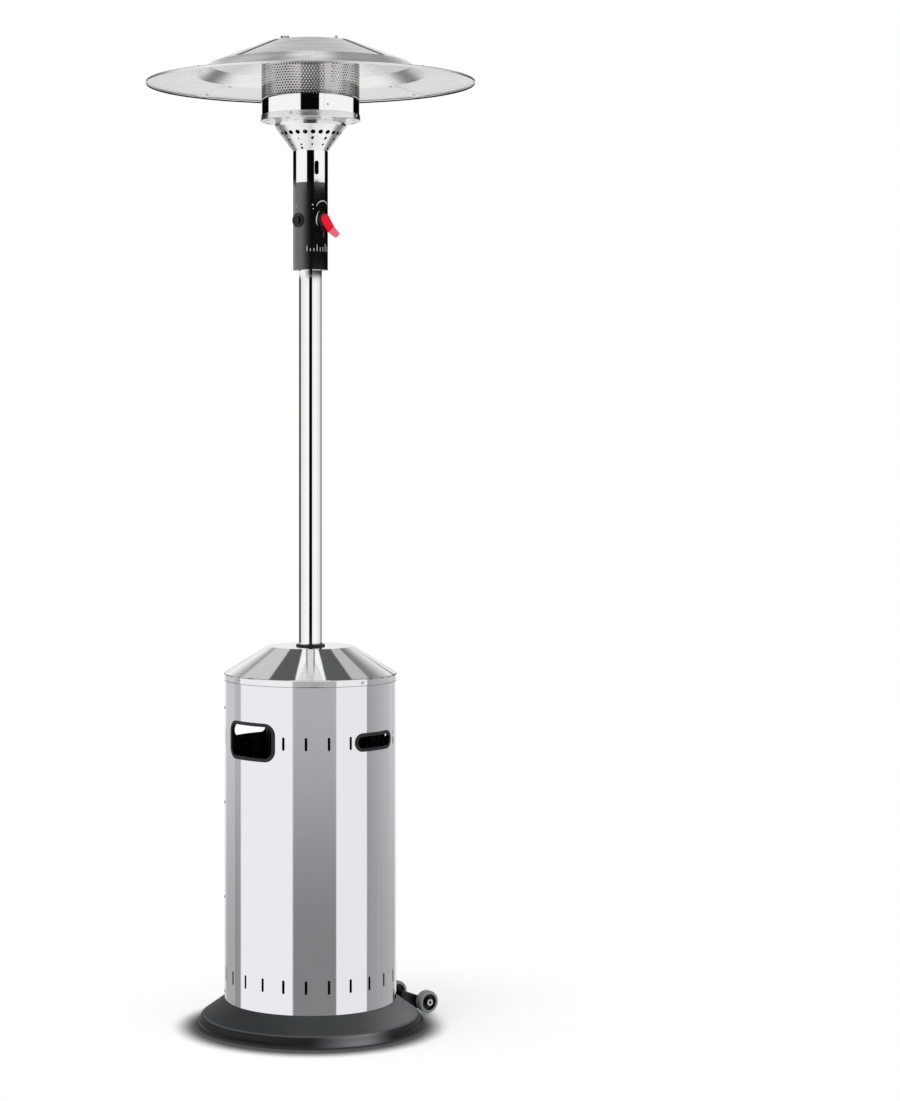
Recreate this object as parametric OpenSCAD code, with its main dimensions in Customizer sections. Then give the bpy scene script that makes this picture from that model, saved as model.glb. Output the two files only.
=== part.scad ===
/* [Base] */
// Radius of the round base at the floor
base_r = 262.5; // [258:0.5:285]
// Distance that the foot rim stands out past the crease
rim_out = 11.5; // [8:0.5:14]
// Height of the foot rim's upper edge above the floor
rim_h = 9; // [7:0.5:12]
// Height of the crease above the floor
crease_h = 25; // [20:0.5:32]
// Height of the shoulder that the housing stands on
shoulder_h = 61; // [52:0.5:70]
// Height of the bottle deck above the floor
deck_h = 91; // [84:0.5:110]
// Radius of the raised centre under the deck
plinth_r = 168; // [150:0.5:169]
// Thickness of the base's pressed sheet
base_sheet = 1.5; // [1:0.1:2.5]
// Thickness of the deck's sheet
deck_sheet = 2; // [1.5:0.1:3]
// Depth of the deck's turned-down rim
deck_rim_h = 11; // [6:0.5:14]
// Distance from the crease in to the ballast plate
ballast_gap = 26; // [20:1:50]
// Thickness of the ballast plate
ballast_t = 26; // [15:1:30]
// Height of the rubber feet
foot_h = 4; // [3:0.5:8]
// Radius of one rubber foot
foot_r = 15; // [10:0.5:20]

/* [Wheels] */
// Turn of the wheels and legs about the post, in degrees
stand_turn = -13; // [-20:0.5:0]
// Radius of a wheel
wheel_r = 26; // [22:0.5:30]
// Width of a wheel
wheel_w = 21; // [16:0.5:26]
// Distance between the two wheels' middles
wheel_track = 130; // [110:1:170]
// Distance from the base's foot rim to the wheel axle
axle_out = 18.5; // [15:0.5:30]
// Clearance from a wheel to the floor
wheel_lift = 4; // [2:0.5:8]
// Radius of the axle
axle_r = 4; // [3:0.1:6]

/* [Legs] */
// Radius of a leg's tube
leg_r = 11; // [9:0.5:13]
// Wall of a leg's tube
leg_wall = 1.5; // [1:0.1:2.5]
// Distance from the post's centre line to a leg's centre line
leg_reach = 178; // [170:0.5:180]
// Radius of the long inward curve of a leg
leg_curve_r = 280; // [240:5:320]
// Radius of the tight bend at a leg's top
leg_bend_r = 35; // [25:1:45]
// Height of the curved upper part of a leg
leg_arch_h = 160; // [155:1:190]
// Height of the legs' upper side above the deck
leg_h = 759; // [740:1:760]

/* [Post] */
// Radius of the post
post_r = 26.5; // [24:0.5:28]
// Wall of the post
post_wall = 1.2; // [0.8:0.1:2]
// Height of the hub that joins the legs
hub_h = 24; // [22:0.5:30]
// Radius of the hub
hub_r = 38; // [36:0.5:42]
// Thickness of the flange under the post
flange_t = 5; // [3:0.5:8]
// Height from the flange's upper side to the control head
post_clear_h = 883; // [800:1:1000]
// Height of the catch screw below the control head
catch_drop = 14; // [10:0.5:16]
// Radius of the catch screw's head
catch_r = 3.2; // [2.5:0.1:4]
// Height of the catch screw's head
catch_head = 4; // [3:0.1:5]

/* [Housing] */
// Outer radius of the bottle housing
housing_r = 198; // [195:0.5:204]
// Wall of the bottle housing
housing_sheet = 1; // [0.6:0.1:1.2]
// Height of the legs' upper side above the bottle housing's wall
leg_rise = 43.7; // [38:0.1:48]
// Azimuth of the vent nearest the control knob
vent_turn = -2.9; // [-5:0.1:5]
// Width of a vent slot
vent_w = 6; // [4:0.5:8]
// Height of a lower vent slot
low_vent_h = 31; // [20:0.5:40]
// Height of an upper vent slot
high_vent_h = 30; // [20:0.5:40]
// Height of the lower vents' middle above the shoulder
low_vent_rise = 62.5; // [50:0.5:90]
// Distance from the wall's upper edge down to the middle of the grips and upper vents
grip_drop = 138.8; // [120:0.1:160]
// Azimuth of the first grip slot
grip_turn = 3.5; // [-5:0.5:6]
// Width of a grip slot over its trim
grip_w = 125; // [110:0.5:130]
// Height of a grip slot over its trim
grip_h = 42; // [36:0.5:50]
// Width of the front opening over its trim
window_w = 144.5; // [120:0.5:150]
// Height of the front opening over its trim
window_h = 87; // [70:0.5:100]
// Corner radius of the front opening over its trim
window_corner = 26; // [16:0.5:30]
// Width of the trims' visible rim
trim_w = 8; // [5:0.5:10]
// Height of a trim's rim above the sheet
trim_t = 2; // [1:0.1:3]

/* [Cover] */
// Height of the cover's skirt
skirt_h = 16; // [12:0.5:22]
// Rise of the cover's slope
cover_rise = 62; // [60:0.5:66]
// Radius of the cover's flat top
cover_top_r = 99; // [94:0.5:110]
// Thickness of the cover's sheet
cover_sheet = 1.2; // [0.8:0.1:1.6]
// Radius of the guide bush's flange
bush_r = 33.5; // [33:0.5:38]

/* [Control head] */
// Outer radius of the control head and neck
head_r = 40.3; // [39.5:0.1:44]
// Wall of the control head
head_wall = 1.5; // [1:0.1:2]
// Height of the control head
head_h = 201; // [196:1:230]
// Height of the chromed neck above the control head
neck_h = 73; // [65:1:90]
// Height of the knob's axis above the control head's lower edge
knob_rise = 116; // [110:0.5:124]
// Height of the igniter button above the control head's lower edge
igniter_rise = 114; // [108:0.5:118]
// Radius of the knob's barrel
knob_r = 15; // [12:0.5:17]
// Height of the knob's barrel outside the control head
knob_out = 4.2; // [4:0.1:8]
// Length of the knob's lever from the knob's axis
lever_len = 48; // [42:0.5:60]
// Width of the lever
lever_w = 23; // [18:0.5:26]
// Angle of the lever from straight down at rest
lever_turn = 39; // [0:1:60]
// Travel of the pushed knob
knob_push = 3.5; // [2:0.5:4]
// Radius of the igniter's bezel
bezel_r = 17; // [14:0.5:18]
// Radius of the igniter's button
button_r = 10; // [8:0.5:11]
// Travel of the igniter's button
button_travel = 5; // [3:0.5:6]

/* [Burner] */
// Height of the perforated cone
cone_h = 57; // [50:1:70]
// Height of the cone's upright rim
cone_rim_h = 12; // [8:0.5:16]
// Radius of the perforated cone at its top
cone_r = 82; // [76:0.5:88]
// Outer radius of the burner pan
pan_r = 115.5; // [112:0.5:120]
// Height of the burner pan's wall
pan_h = 15; // [12:0.5:20]
// Height of the emitter screen above the pan's floor
screen_h = 154; // [130:1:170]
// Height of the screen's plain lower band above the pan's floor
band_h = 52; // [40:1:60]
// Radius of one hole in the screen
screen_hole_r = 3.8; // [2.5:0.1:4]
// Number of columns of holes round the screen
screen_columns = 48; // [36:2:64]
// Rows of holes up the screen
screen_rows = 8; // [5:1:10]

/* [Reflector] */
// Radius of the reflector's rim
dish_r = 380; // [350:1:420]
// Radius where the brim meets the step
brim_r = 265; // [255:1:280]
// Radius where the step meets the slope
slope_r = 232; // [220:1:245]
// Radius of the reflector's flat top
crown_r = 105; // [98:1:115]
// Rise of the brim
brim_rise = 17; // [10:0.5:24]
// Rise of the step
step_rise = 24; // [16:0.5:30]
// Rise of the slope
slope_rise = 50; // [40:0.5:60]
// Thickness of the reflector's sheet
dish_sheet = 1; // [0.6:0.1:1.5]
// Gap from the screen's top plate to the reflector
dish_gap = 24; // [18:0.5:30]
// Distance of the studs from the post's centre line
stud_reach = 83; // [70:0.5:90]

/* [Fits] */
// Gap between a running shaft and its bore
running_fit = 0.05; // [0.02:0.01:0.1]
// Gap between pieces that move past each other
free_fit = 0.3; // [0.2:0.05:0.6]
// Gap round a screw in its hole
screw_fit = 0.1; // [0.05:0.05:0.3]

/* [Hidden] */
$fn = 96;
e = 1;

// Sheet thicknesses and standard hardware
pan_sheet = 1.2;
pan_bend = 1.25 * pan_sheet;
cap_sheet = 1.5;
m8_r = 4;
m8_head_r = 7.5;
m8_head_h = 5.3;
m8_nut_h = 6.5;
m6_r = 3;
m6_head_r = 5.8;
rivet_r = 2;
rivet_head_r = 3.5;
rivet_head_h = 1.6;
edge_rise = 3.7;

// Heights above the floor, from the bottom up
ledge_z = shoulder_h;
plinth_z = deck_h - deck_sheet;
leg_top_z = deck_h + leg_h;
leg_axis_z = leg_top_z - leg_r;
flange_z = leg_top_z + flange_t;
head_z = flange_z + post_clear_h;
neck_z = head_z + head_h;
cone_z = neck_z + neck_h;
cone_top_z = cone_z + cone_h;
pan_z = cone_top_z + cone_rim_h;
screen_z = pan_z + pan_sheet;
screen_top_z = pan_z + screen_h;
crown_z = screen_top_z + cap_sheet + dish_gap + 2 * dish_sheet;
housing_z = ledge_z + free_fit;
housing_top_z = leg_top_z - leg_rise;
housing_h = housing_top_z - housing_z;
grip_z = housing_top_z - grip_drop;
edge_z = housing_top_z + edge_rise;
cover_z = edge_z + cover_rise;
knob_z = head_z + knob_rise;
igniter_z = head_z + igniter_rise;
axle_z = wheel_lift + wheel_r;
catch_z = head_z - catch_drop;

// Radii that follow from the driving sizes
crease_r = base_r - rim_out;
ballast_r = crease_r - ballast_gap;
axle_reach = base_r + axle_out;
housing_in_r = housing_r - housing_sheet;
deck_r = housing_in_r - 3;
trim_lap = 1.5;
slot_inset = trim_w - trim_lap;
skirt_in_r = housing_r + screw_fit;
skirt_r = skirt_in_r + cover_sheet;
head_in_r = head_r - head_wall;
bezel_sleeve_r = button_r + 1.5;
piezo_r = button_r + 1.2;
bush_bore_r = post_r + free_fit;
bush_neck_r = bush_bore_r + 1.5;
notch_r = post_r + catch_head + 0.5;
notch_w = 2 * catch_r + 2;
pan_flare = 1;
screen_r = pan_r - pan_flare - pan_sheet - screw_fit;
vent_count = 24;
vent_step = 360 / vent_count;
seam_turn = vent_turn + 3.5 * vent_step;
catch_turn = -45;

// Slot with round ends, standing upright
module slot_2d(w, h) {
    for (s = [-1, 1])
        translate([0, s * (h - w) / 2])
            circle(d = w);
    square([w, h - w], center = true);
}

// Rectangle with round corners
module soft_rect(w, h, r) {
    square([w, h - 2 * r], center = true);
    square([w - 2 * r, h], center = true);
    for (x = [-1, 1])
        for (y = [-1, 1])
            translate([x * (w / 2 - r), y * (h / 2 - r)])
                circle(r);
}

// Push a flat shape outwards through a round wall at one azimuth and height
module radial(turn, z, reach, depth) {
    rotate([0, 0, turn])
        translate([reach, 0, z])
            rotate([90, 0, 90])
                linear_extrude(depth)
                    children();
}

module tube(r, wall, h) {
    difference() {
        cylinder(r = r, h = h);
        translate([0, 0, -e])
            cylinder(r = r - wall, h = h + 2 * e);
    }
}

// Hexagon-headed screw that points down from the origin's plane
module hex_bolt(r, head_r, head_h, len) {
    cylinder(r = head_r, h = head_h, $fn = 6);
    translate([0, 0, -len])
        cylinder(r = r, h = len + e / 2);
}

// Domed rivet or screw whose head points along +X
module button_head(r, head_r, head_h, len) {
    rotate([0, 90, 0]) {
        rotate_extrude()
            polygon([[0, 0], [head_r, 0], [head_r, head_h * 0.35], [head_r * 0.75, head_h * 0.8],
                [head_r * 0.4, head_h], [0, head_h]]);
        translate([0, 0, -len])
            cylinder(r = r, h = len + head_h / 2);
    }
}

module on_stand(turn = 0) {
    rotate([0, 0, stand_turn + turn])
        children();
}

// Base
base_z = foot_h / 2;

// Foot rim, groove and crease, then the slope, the shoulder and the raised centre
function base_outline() = [
    [0, base_z], [base_r - 2, base_z], [base_r, base_z + 2], [base_r, rim_h - 3], [base_r - 1, rim_h - 1],
    [base_r - 3, rim_h], [crease_r + 4, rim_h + 1.5], [crease_r + 2, rim_h + 3], [crease_r + 1.5, rim_h + 5],
    [crease_r + 1.5, crease_h - 4], [crease_r + 1, crease_h - 1.5], [crease_r - 1, crease_h + 0.5],
    [housing_r + 2, ledge_z], [plinth_r, ledge_z], [plinth_r, plinth_z], [0, plinth_z]
];

module base_form(inset) {
    rotate_extrude()
        polygon([for (p = base_outline()) [max(0, p[0] - inset), p[1] - inset]]);
}

module base_shell() {
    color([0.23, 0.24, 0.25])
        difference() {
            base_form(0);
            base_form(base_sheet);
        }
}

module ballast_plate() {
    boss_r = 60;
    color([0.5, 0.5, 0.48])
        rotate_extrude()
            polygon([[0, foot_h], [ballast_r, foot_h], [ballast_r, foot_h + ballast_t - 4],
                [ballast_r - 6, foot_h + ballast_t], [boss_r + 10, foot_h + ballast_t],
                [boss_r, foot_h + ballast_t + 8], [boss_r, plinth_z - base_sheet],
                [0, plinth_z - base_sheet]]);
}

module base_feet() {
    count = 6;
    color([0.08, 0.08, 0.08])
        for (k = [0:count - 1])
            on_stand(k * 360 / count + 30)
                translate([ballast_r - foot_r - 6, 0, 0])
                    cylinder(r1 = foot_r - 1, r2 = foot_r, h = foot_h);
}

module bottle_deck() {
    rim = 3;
    color([0.25, 0.25, 0.26])
        difference() {
            rotate_extrude()
                polygon([[0, plinth_z], [deck_r - deck_sheet - rim / 2, plinth_z],
                    [deck_r - deck_sheet, plinth_z - rim / 2], [deck_r - deck_sheet, deck_h - deck_rim_h],
                    [deck_r, deck_h - deck_rim_h], [deck_r, deck_h - rim],
                    [deck_r - rim * 0.3, deck_h - rim * 0.3],
                    [deck_r - rim, deck_h], [0, deck_h]]);
            foot_bolt_places()
                translate([0, 0, plinth_z - e])
                    cylinder(r = m8_r + screw_fit, h = deck_sheet + 2 * e);
        }
}

// Wheels
bar_r = 7.5;
bar_half = wheel_track / 2 - wheel_w / 2 - free_fit;
cap_t = 3;

module wheel_bracket() {
    arm_t = 6;
    arm_x = bar_half - arm_t / 2 - arm_t;
    arm_reach = crease_r - 30;
    arm_h = 34;
    color([0.07, 0.07, 0.07])
        on_stand()
            difference() {
                union() {
                    translate([-bar_half, axle_reach, axle_z])
                        rotate([0, 90, 0])
                            cylinder(r = bar_r, h = 2 * bar_half);
                    for (s = [0, 1])
                        mirror([s, 0, 0])
                            translate([arm_x, 0, 0])
                                rotate([90, 0, 90])
                                    linear_extrude(arm_t)
                                        polygon([[arm_reach, crease_h], [base_r - 4, rim_h + 3],
                                            [axle_reach + bar_r * 0.5, axle_z - bar_r * 0.86],
                                            [axle_reach, axle_z], [axle_reach, axle_z + bar_r * 0.9],
                                            [arm_reach, crease_h + arm_h]]);
                }
                rotate([0, 0, -stand_turn])
                    base_form(0);
                translate([-bar_half - e, axle_reach, axle_z])
                    rotate([0, 90, 0])
                        cylinder(r = axle_r + running_fit, h = 2 * bar_half + 2 * e);
            }
}

module wheel_axle() {
    cap_x = wheel_track / 2 + wheel_w / 2 + free_fit;
    half = cap_x + cap_t - 1;
    color([0.55, 0.55, 0.57])
        on_stand() {
            translate([-half, axle_reach, axle_z])
                rotate([0, 90, 0])
                    cylinder(r = axle_r, h = 2 * half);
            for (s = [0, 1])
                mirror([s, 0, 0])
                    translate([cap_x, axle_reach, axle_z])
                        rotate([0, 90, 0])
                            difference() {
                                cylinder(r = axle_r + 3.5, h = cap_t);
                                translate([0, 0, -e])
                                    cylinder(r = axle_r + screw_fit / 2, h = cap_t + 2 * e);
                            }
        }
}

// Profile from the wheel's middle plane outwards, turned about the axle
module wheel_ring(side, points, bore) {
    on_stand()
        translate([side * wheel_track / 2, axle_reach, axle_z])
            rotate([0, side * 90, 0])
                difference() {
                    rotate_extrude()
                        polygon(points);
                    translate([0, 0, -wheel_w])
                        cylinder(r = bore, h = 2 * wheel_w);
                }
}

tyre_t = 7;
hub_rim_r = wheel_r - tyre_t;
hub_boss_r = 10;

module wheel_hub(side) {
    half = wheel_w / 2;
    web = half - 5;
    rim = half - 1;
    color([0.05, 0.05, 0.05])
        wheel_ring(side, [[0, -half], [hub_boss_r, -half], [hub_boss_r + 1, -web], [hub_rim_r - 3, -web],
            [hub_rim_r - 2, -rim], [hub_rim_r, -rim], [hub_rim_r, rim], [hub_rim_r - 2, rim],
            [hub_rim_r - 3, web], [hub_boss_r + 1, web], [hub_boss_r, half], [0, half]],
            axle_r + running_fit);
}

module wheel_tyre(side) {
    half = wheel_w / 2;
    color([0.45, 0.46, 0.46])
        wheel_ring(side, [[hub_rim_r - 1, -half], [wheel_r - 3, -half], [wheel_r - 0.8, -half + 1.8],
            [wheel_r, -half + 4.5], [wheel_r, half - 4.5], [wheel_r - 0.8, half - 1.8], [wheel_r - 3, half],
            [hub_rim_r - 1, half]], hub_rim_r);
}

module left_hub() wheel_hub(-1);
module right_hub() wheel_hub(1);
module left_tyre() wheel_tyre(-1);
module right_tyre() wheel_tyre(1);

// Legs
leg_foot_t = 3;
leg_foot_z = deck_h + leg_foot_t;
leg_curve_z = leg_top_z - leg_arch_h;
leg_curve_angle = asin((leg_axis_z - leg_curve_z - leg_bend_r) / (leg_curve_r - leg_bend_r));
leg_entry = 8;
leg_knee_x = leg_reach - leg_curve_r * (1 - cos(leg_curve_angle)) - leg_bend_r * cos(leg_curve_angle);
foot_bolt_gap = 20;

module foot_bolt_places() {
    for (turn = [0, 90, 180])
        for (s = [-1, 1])
            on_stand(turn)
                translate([leg_reach, s * foot_bolt_gap, 0])
                    children();
}

// Bent tube of one radius, used for the wall and for the bore
module leg_path(r, over) {
    translate([leg_reach, 0, leg_foot_z - over])
        cylinder(r = r, h = leg_curve_z - leg_foot_z + over);
    translate([leg_reach - leg_curve_r, 0, leg_curve_z])
        rotate([90, 0, 0])
            rotate_extrude(angle = leg_curve_angle)
                translate([leg_curve_r, 0])
                    circle(r);
    translate([leg_knee_x, 0, leg_axis_z - leg_bend_r])
        rotate([90, 0, 0])
            rotate([0, 0, leg_curve_angle])
                rotate_extrude(angle = 90 - leg_curve_angle)
                    translate([leg_bend_r, 0])
                        circle(r);
    translate([hub_r - leg_entry - over, 0, leg_axis_z])
        rotate([0, 90, 0])
            cylinder(r = r, h = leg_knee_x - hub_r + leg_entry + over);
}

module leg(turn) {
    color([0.3, 0.31, 0.32])
        on_stand(turn) {
            difference() {
                leg_path(leg_r, 0);
                leg_path(leg_r - leg_wall, 2);
                translate([0, 0, leg_axis_z - hub_h])
                    cylinder(r = hub_r, h = 2 * hub_h);
            }
            difference() {
                translate([leg_reach, 0, deck_h])
                    linear_extrude(leg_foot_t) {
                        square([2 * leg_r + 2, 2 * foot_bolt_gap], center = true);
                        for (s = [-1, 1])
                            translate([0, s * foot_bolt_gap])
                                circle(leg_r + 1);
                    }
                for (s = [-1, 1])
                    translate([leg_reach, s * foot_bolt_gap, deck_h - e])
                        cylinder(r = m8_r + screw_fit, h = leg_foot_t + 2 * e);
            }
        }
}

module leg_right() leg(0);
module leg_rear() leg(90);
module leg_left() leg(180);

module leg_bolts() {
    color([0.7, 0.7, 0.7])
        foot_bolt_places() {
            translate([0, 0, leg_foot_z])
                hex_bolt(m8_r, m8_head_r, m8_head_h, leg_foot_t + deck_sheet + m8_nut_h + 2);
            translate([0, 0, plinth_z - m8_nut_h])
                cylinder(r = m8_head_r, h = m8_nut_h, $fn = 6);
        }
}

// Hub under the post
hub_bore_r = 14;
hub_z = leg_top_z - hub_h;
hub_bolt_reach = 28;
flange_lip = 6;

module hub_bolt_places() {
    for (turn = [45, 135, 270])
        on_stand(turn)
            translate([hub_bolt_reach, 0, 0])
                children();
}

module hub_disc(r, z, h) {
    difference() {
        translate([0, 0, z])
            cylinder(r = r, h = h);
        translate([0, 0, z - e])
            cylinder(r = hub_bore_r, h = h + 2 * e);
        hub_bolt_places()
            translate([0, 0, z - e])
                cylinder(r = m8_r + screw_fit, h = h + 2 * e);
    }
}

module leg_hub() {
    color([0.3, 0.31, 0.32])
        hub_disc(hub_r, hub_z, hub_h);
}

module post_flange() {
    color([0.6, 0.6, 0.62])
        hub_disc(hub_r + flange_lip, leg_top_z, flange_t);
}

module flange_bolts() {
    color([0.7, 0.7, 0.7])
        hub_bolt_places() {
            translate([0, 0, hub_z])
                mirror([0, 0, 1])
                    hex_bolt(m8_r, m8_head_r, m8_head_h, hub_h + flange_t);
        }
}

// Post and gas line
post_in_head = 36;
post_top_z = head_z + post_in_head;

module post() {
    color([0.85, 0.85, 0.86])
        translate([0, 0, flange_z])
            difference() {
                tube(post_r, post_wall, post_top_z - flange_z);
                rotate([0, 0, catch_turn])
                    translate([0, 0, catch_z - flange_z])
                        rotate([0, 90, 0])
                            cylinder(r = m6_r + screw_fit, h = 2 * post_r);
            }
}

module catch_screw() {
    shank = post_wall + 6;
    color([0.3, 0.3, 0.3])
        rotate([0, 0, catch_turn])
            translate([post_r, 0, catch_z])
                rotate([0, 90, 0]) {
                    cylinder(r = catch_r, h = catch_head);
                    translate([0, 0, -shank])
                        cylinder(r = m6_r, h = shank + e);
                }
}

inlet_thread_r = 8.33;
inlet_thread_len = 14;
inlet_hex_h = 8;
inlet_hex_r = 12.7;
inlet_plate_t = 4;
riser_r = 4;
riser_wall = 1;

module hose_inlet() {
    color([0.75, 0.6, 0.3])
        difference() {
            union() {
                translate([0, 0, hub_z - inlet_plate_t])
                    cylinder(r = hub_bore_r + 4, h = inlet_plate_t);
                translate([0, 0, hub_z - inlet_plate_t - inlet_hex_h])
                    cylinder(r = inlet_hex_r, h = inlet_hex_h, $fn = 6);
                translate([0, 0, hub_z - inlet_plate_t - inlet_hex_h - inlet_thread_len])
                    cylinder(r = inlet_thread_r, h = inlet_thread_len);
                translate([0, 0, hub_z - e])
                    cylinder(r = hub_bore_r - screw_fit, h = hub_h);
            }
            translate([0, 0, hub_z - 2 * hub_h])
                cylinder(r = riser_r - riser_wall, h = 4 * hub_h);
            translate([0, 0, hub_z])
                cylinder(r = riser_r, h = 2 * hub_h);
        }
}

valve_h = 40;
valve_z = knob_z - valve_h / 2;

module gas_riser() {
    color([0.7, 0.42, 0.25])
        translate([0, 0, hub_z])
            tube(riser_r, riser_wall, valve_z - hub_z);
}

// Bottle housing
window_turn = -90;
lap_angle = 3;
tongue_inset = 2;

module housing_sector(r_in, r_out, from, sweep, inset) {
    rotate([0, 0, from])
        translate([0, 0, housing_z + inset])
            rotate_extrude(angle = sweep)
                translate([r_in, 0])
                    square([r_out - r_in, housing_h - 2 * inset]);
}

// Upper vents stay away from the front opening and the grips
vent_margin = 2.5;
window_reach = asin(window_w / 2 / housing_r) + vent_margin;
grip_reach = asin(grip_w / 2 / housing_r) + vent_margin;
function near(a, b) = abs((a - b + 900) % 360 - 180);
function is_open(a) = near(a, window_turn) > window_reach
    && near(a, grip_turn) > grip_reach && near(a, grip_turn + 180) > grip_reach;
low_vents = [for (k = [0:vent_count - 1]) vent_turn + vent_step * k];
high_vents = [for (a = low_vents) if (is_open(a)) a];

module grip_cut(turn, inset) {
    depth = 20;
    radial(turn, grip_z, housing_r - depth, 1.5 * depth)
        rotate(90)
            slot_2d(grip_h - 2 * inset, grip_w - 2 * inset);
}

module window_cut(inset) {
    depth = 28;
    radial(window_turn, grip_z, housing_r - depth, 1.5 * depth)
        soft_rect(window_w - 2 * inset, window_h - 2 * inset, window_corner - inset);
}

module housing_vents(from) {
    depth = 5;
    inside = function(a) (a - from + 720) % 360 < 180;
    for (a = low_vents)
        if (inside(a))
            radial(a, ledge_z + low_vent_rise, housing_in_r - depth, 2 * depth)
                slot_2d(vent_w, low_vent_h);
    for (a = high_vents)
        if (inside(a))
            radial(a, grip_z, housing_in_r - depth, 2 * depth)
                slot_2d(vent_w, high_vent_h);
}

seam_rivets = 4;
rivet_low = 18;
rivet_high = housing_h - 75;
rivet_tail_h = 1.2;

rivet_step = (rivet_high - rivet_low) / (seam_rivets - 1);

module rivet_places(seam) {
    for (k = [0:seam_rivets - 1])
        rotate([0, 0, seam + lap_angle / 2])
            translate([housing_r, 0, housing_z + rivet_low + k * rivet_step])
                children();
}

// Half of the wall with a tongue that lies behind the other half's edge
module housing_half(from) {
    color([0.8, 0.8, 0.82])
        difference() {
            union() {
                housing_sector(housing_in_r, housing_r, from, 180 + lap_angle / 2, 0);
                housing_sector(housing_in_r - housing_sheet, housing_in_r + housing_sheet / 2,
                    from + 180 - lap_angle, 2 * lap_angle, tongue_inset);
            }
            housing_sector(housing_in_r, housing_r + 1, from + 180, 2 * lap_angle, -1);
            housing_vents(from);
            for (seam = [from, from + 180])
                rivet_places(seam)
                    rotate([0, 90, 0])
                        translate([0, 0, -10])
                            cylinder(r = rivet_r + screw_fit, h = 20);
            children();
        }
}

module housing_front() {
    housing_half(seam_turn - 180) {
        window_cut(slot_inset);
        grip_cut(grip_turn, slot_inset);
    }
}

module housing_rear() {
    housing_half(seam_turn)
        grip_cut(grip_turn + 180, slot_inset);
}

module housing_rivets() {
    color([0.6, 0.6, 0.62])
        for (seam = [seam_turn, seam_turn + 180])
            rivet_places(seam) {
                button_head(rivet_r, rivet_head_r, rivet_head_h, 3 * housing_sheet);
                translate([-2 * housing_sheet - rivet_tail_h, 0, 0])
                    rotate([0, 90, 0])
                        cylinder(r = rivet_head_r - 0.5, h = rivet_tail_h);
            }
}

// Channel trim: a rim outside, a neck through the sheet and a rim inside
module wall_ring(r_in, r_out) {
    translate([0, 0, grip_z - window_h])
        difference() {
            cylinder(r = r_out, h = 2 * window_h);
            translate([0, 0, -e])
                cylinder(r = r_in, h = 2 * window_h + 2 * e);
        }
}

module channel_trim() {
    difference() {
        union() {
            intersection() {
                wall_ring(housing_r, housing_r + trim_t);
                children(0);
            }
            intersection() {
                wall_ring(housing_in_r - trim_t, housing_r + trim_t);
                children(1);
            }
            intersection() {
                wall_ring(housing_in_r - trim_t, housing_in_r);
                children(2);
            }
        }
        children(3);
    }
}

module front_trim() {
    color([0.04, 0.04, 0.04])
        channel_trim() {
            window_cut(0);
            window_cut(slot_inset + screw_fit);
            window_cut(trim_w / 2);
            window_cut(trim_w);
        }
}

module grip_trim(turn) {
    color([0.04, 0.04, 0.04])
        channel_trim() {
            grip_cut(turn, 0);
            grip_cut(turn, slot_inset + screw_fit);
            grip_cut(turn, trim_w / 2);
            grip_cut(turn, trim_w);
        }
}

module right_grip_trim() grip_trim(grip_turn);
module left_grip_trim() grip_trim(grip_turn + 180);

// Cover
cover_hole_r = bush_neck_r + free_fit;
cover_screw_turn = -9;
bush_lip_h = 5;
bush_flange_h = 4;
slope_sheet = cover_sheet * 1.17;

module catch_notch(z, h) {
    rotate([0, 0, catch_turn])
        translate([0, -notch_w / 2, z])
            cube([notch_r, notch_w, h]);
}

module cover() {
    color([0.82, 0.82, 0.84])
        difference() {
            rotate_extrude()
                polygon([[skirt_in_r, edge_z - skirt_h], [skirt_r, edge_z - skirt_h], [skirt_r, edge_z - 1.5],
                    [skirt_r - 0.6, edge_z - 0.3], [skirt_r - 1.6, edge_z + 0.6],
                    [cover_top_r, cover_z], [cover_hole_r, cover_z], [cover_hole_r, cover_z - cover_sheet],
                    [cover_top_r - 0.3, cover_z - cover_sheet], [skirt_r - 2, edge_z + 0.4 - slope_sheet],
                    [skirt_in_r, edge_z - 2.2]]);
            catch_notch(cover_z - bush_lip_h, 2 * bush_lip_h);
            cover_screw_places()
                rotate([0, 90, 0])
                    translate([0, 0, -5])
                        cylinder(r = rivet_r + screw_fit, h = 10);
        }
}

module cover_screw_places() {
    for (k = [0:3])
        rotate([0, 0, 90 * k + cover_screw_turn])
            translate([skirt_r, 0, edge_z - skirt_h / 2])
                children();
}

module cover_screws() {
    color([0.6, 0.6, 0.62])
        cover_screw_places()
            button_head(rivet_r, rivet_head_r, 2, cover_sheet + screw_fit - 0.02);
}

module guide_bush() {
    lip_r = bush_r - 2;
    color([0.05, 0.05, 0.05])
        difference() {
            rotate_extrude()
                polygon([[bush_bore_r, cover_z - bush_lip_h], [lip_r - 1, cover_z - bush_lip_h],
                    [lip_r, cover_z - bush_lip_h + 1],
                    [lip_r, cover_z - cover_sheet - free_fit],
                    [bush_neck_r, cover_z - cover_sheet - free_fit], [bush_neck_r, cover_z + free_fit],
                    [bush_r, cover_z + free_fit], [bush_r, cover_z + 2.5],
                    [bush_r - 1.5, cover_z + bush_flange_h], [bush_bore_r, cover_z + bush_flange_h]]);
            catch_notch(cover_z - bush_lip_h - e, bush_lip_h + bush_flange_h + 2 * e);
        }
}

// Control head
socket_t = 3;
socket_rim_h = 12;

module head_socket() {
    collar_len = 34;
    color([0.08, 0.08, 0.08])
        translate([0, 0, head_z])
            difference() {
                union() {
                    cylinder(r = head_in_r - screw_fit, h = socket_t);
                    cylinder(r = post_r + socket_t, h = collar_len);
                    tube(head_in_r - screw_fit, 2, socket_rim_h);
                }
                translate([0, 0, -e])
                    cylinder(r = post_r + running_fit, h = collar_len + 2 * e);
            }
}

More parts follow.
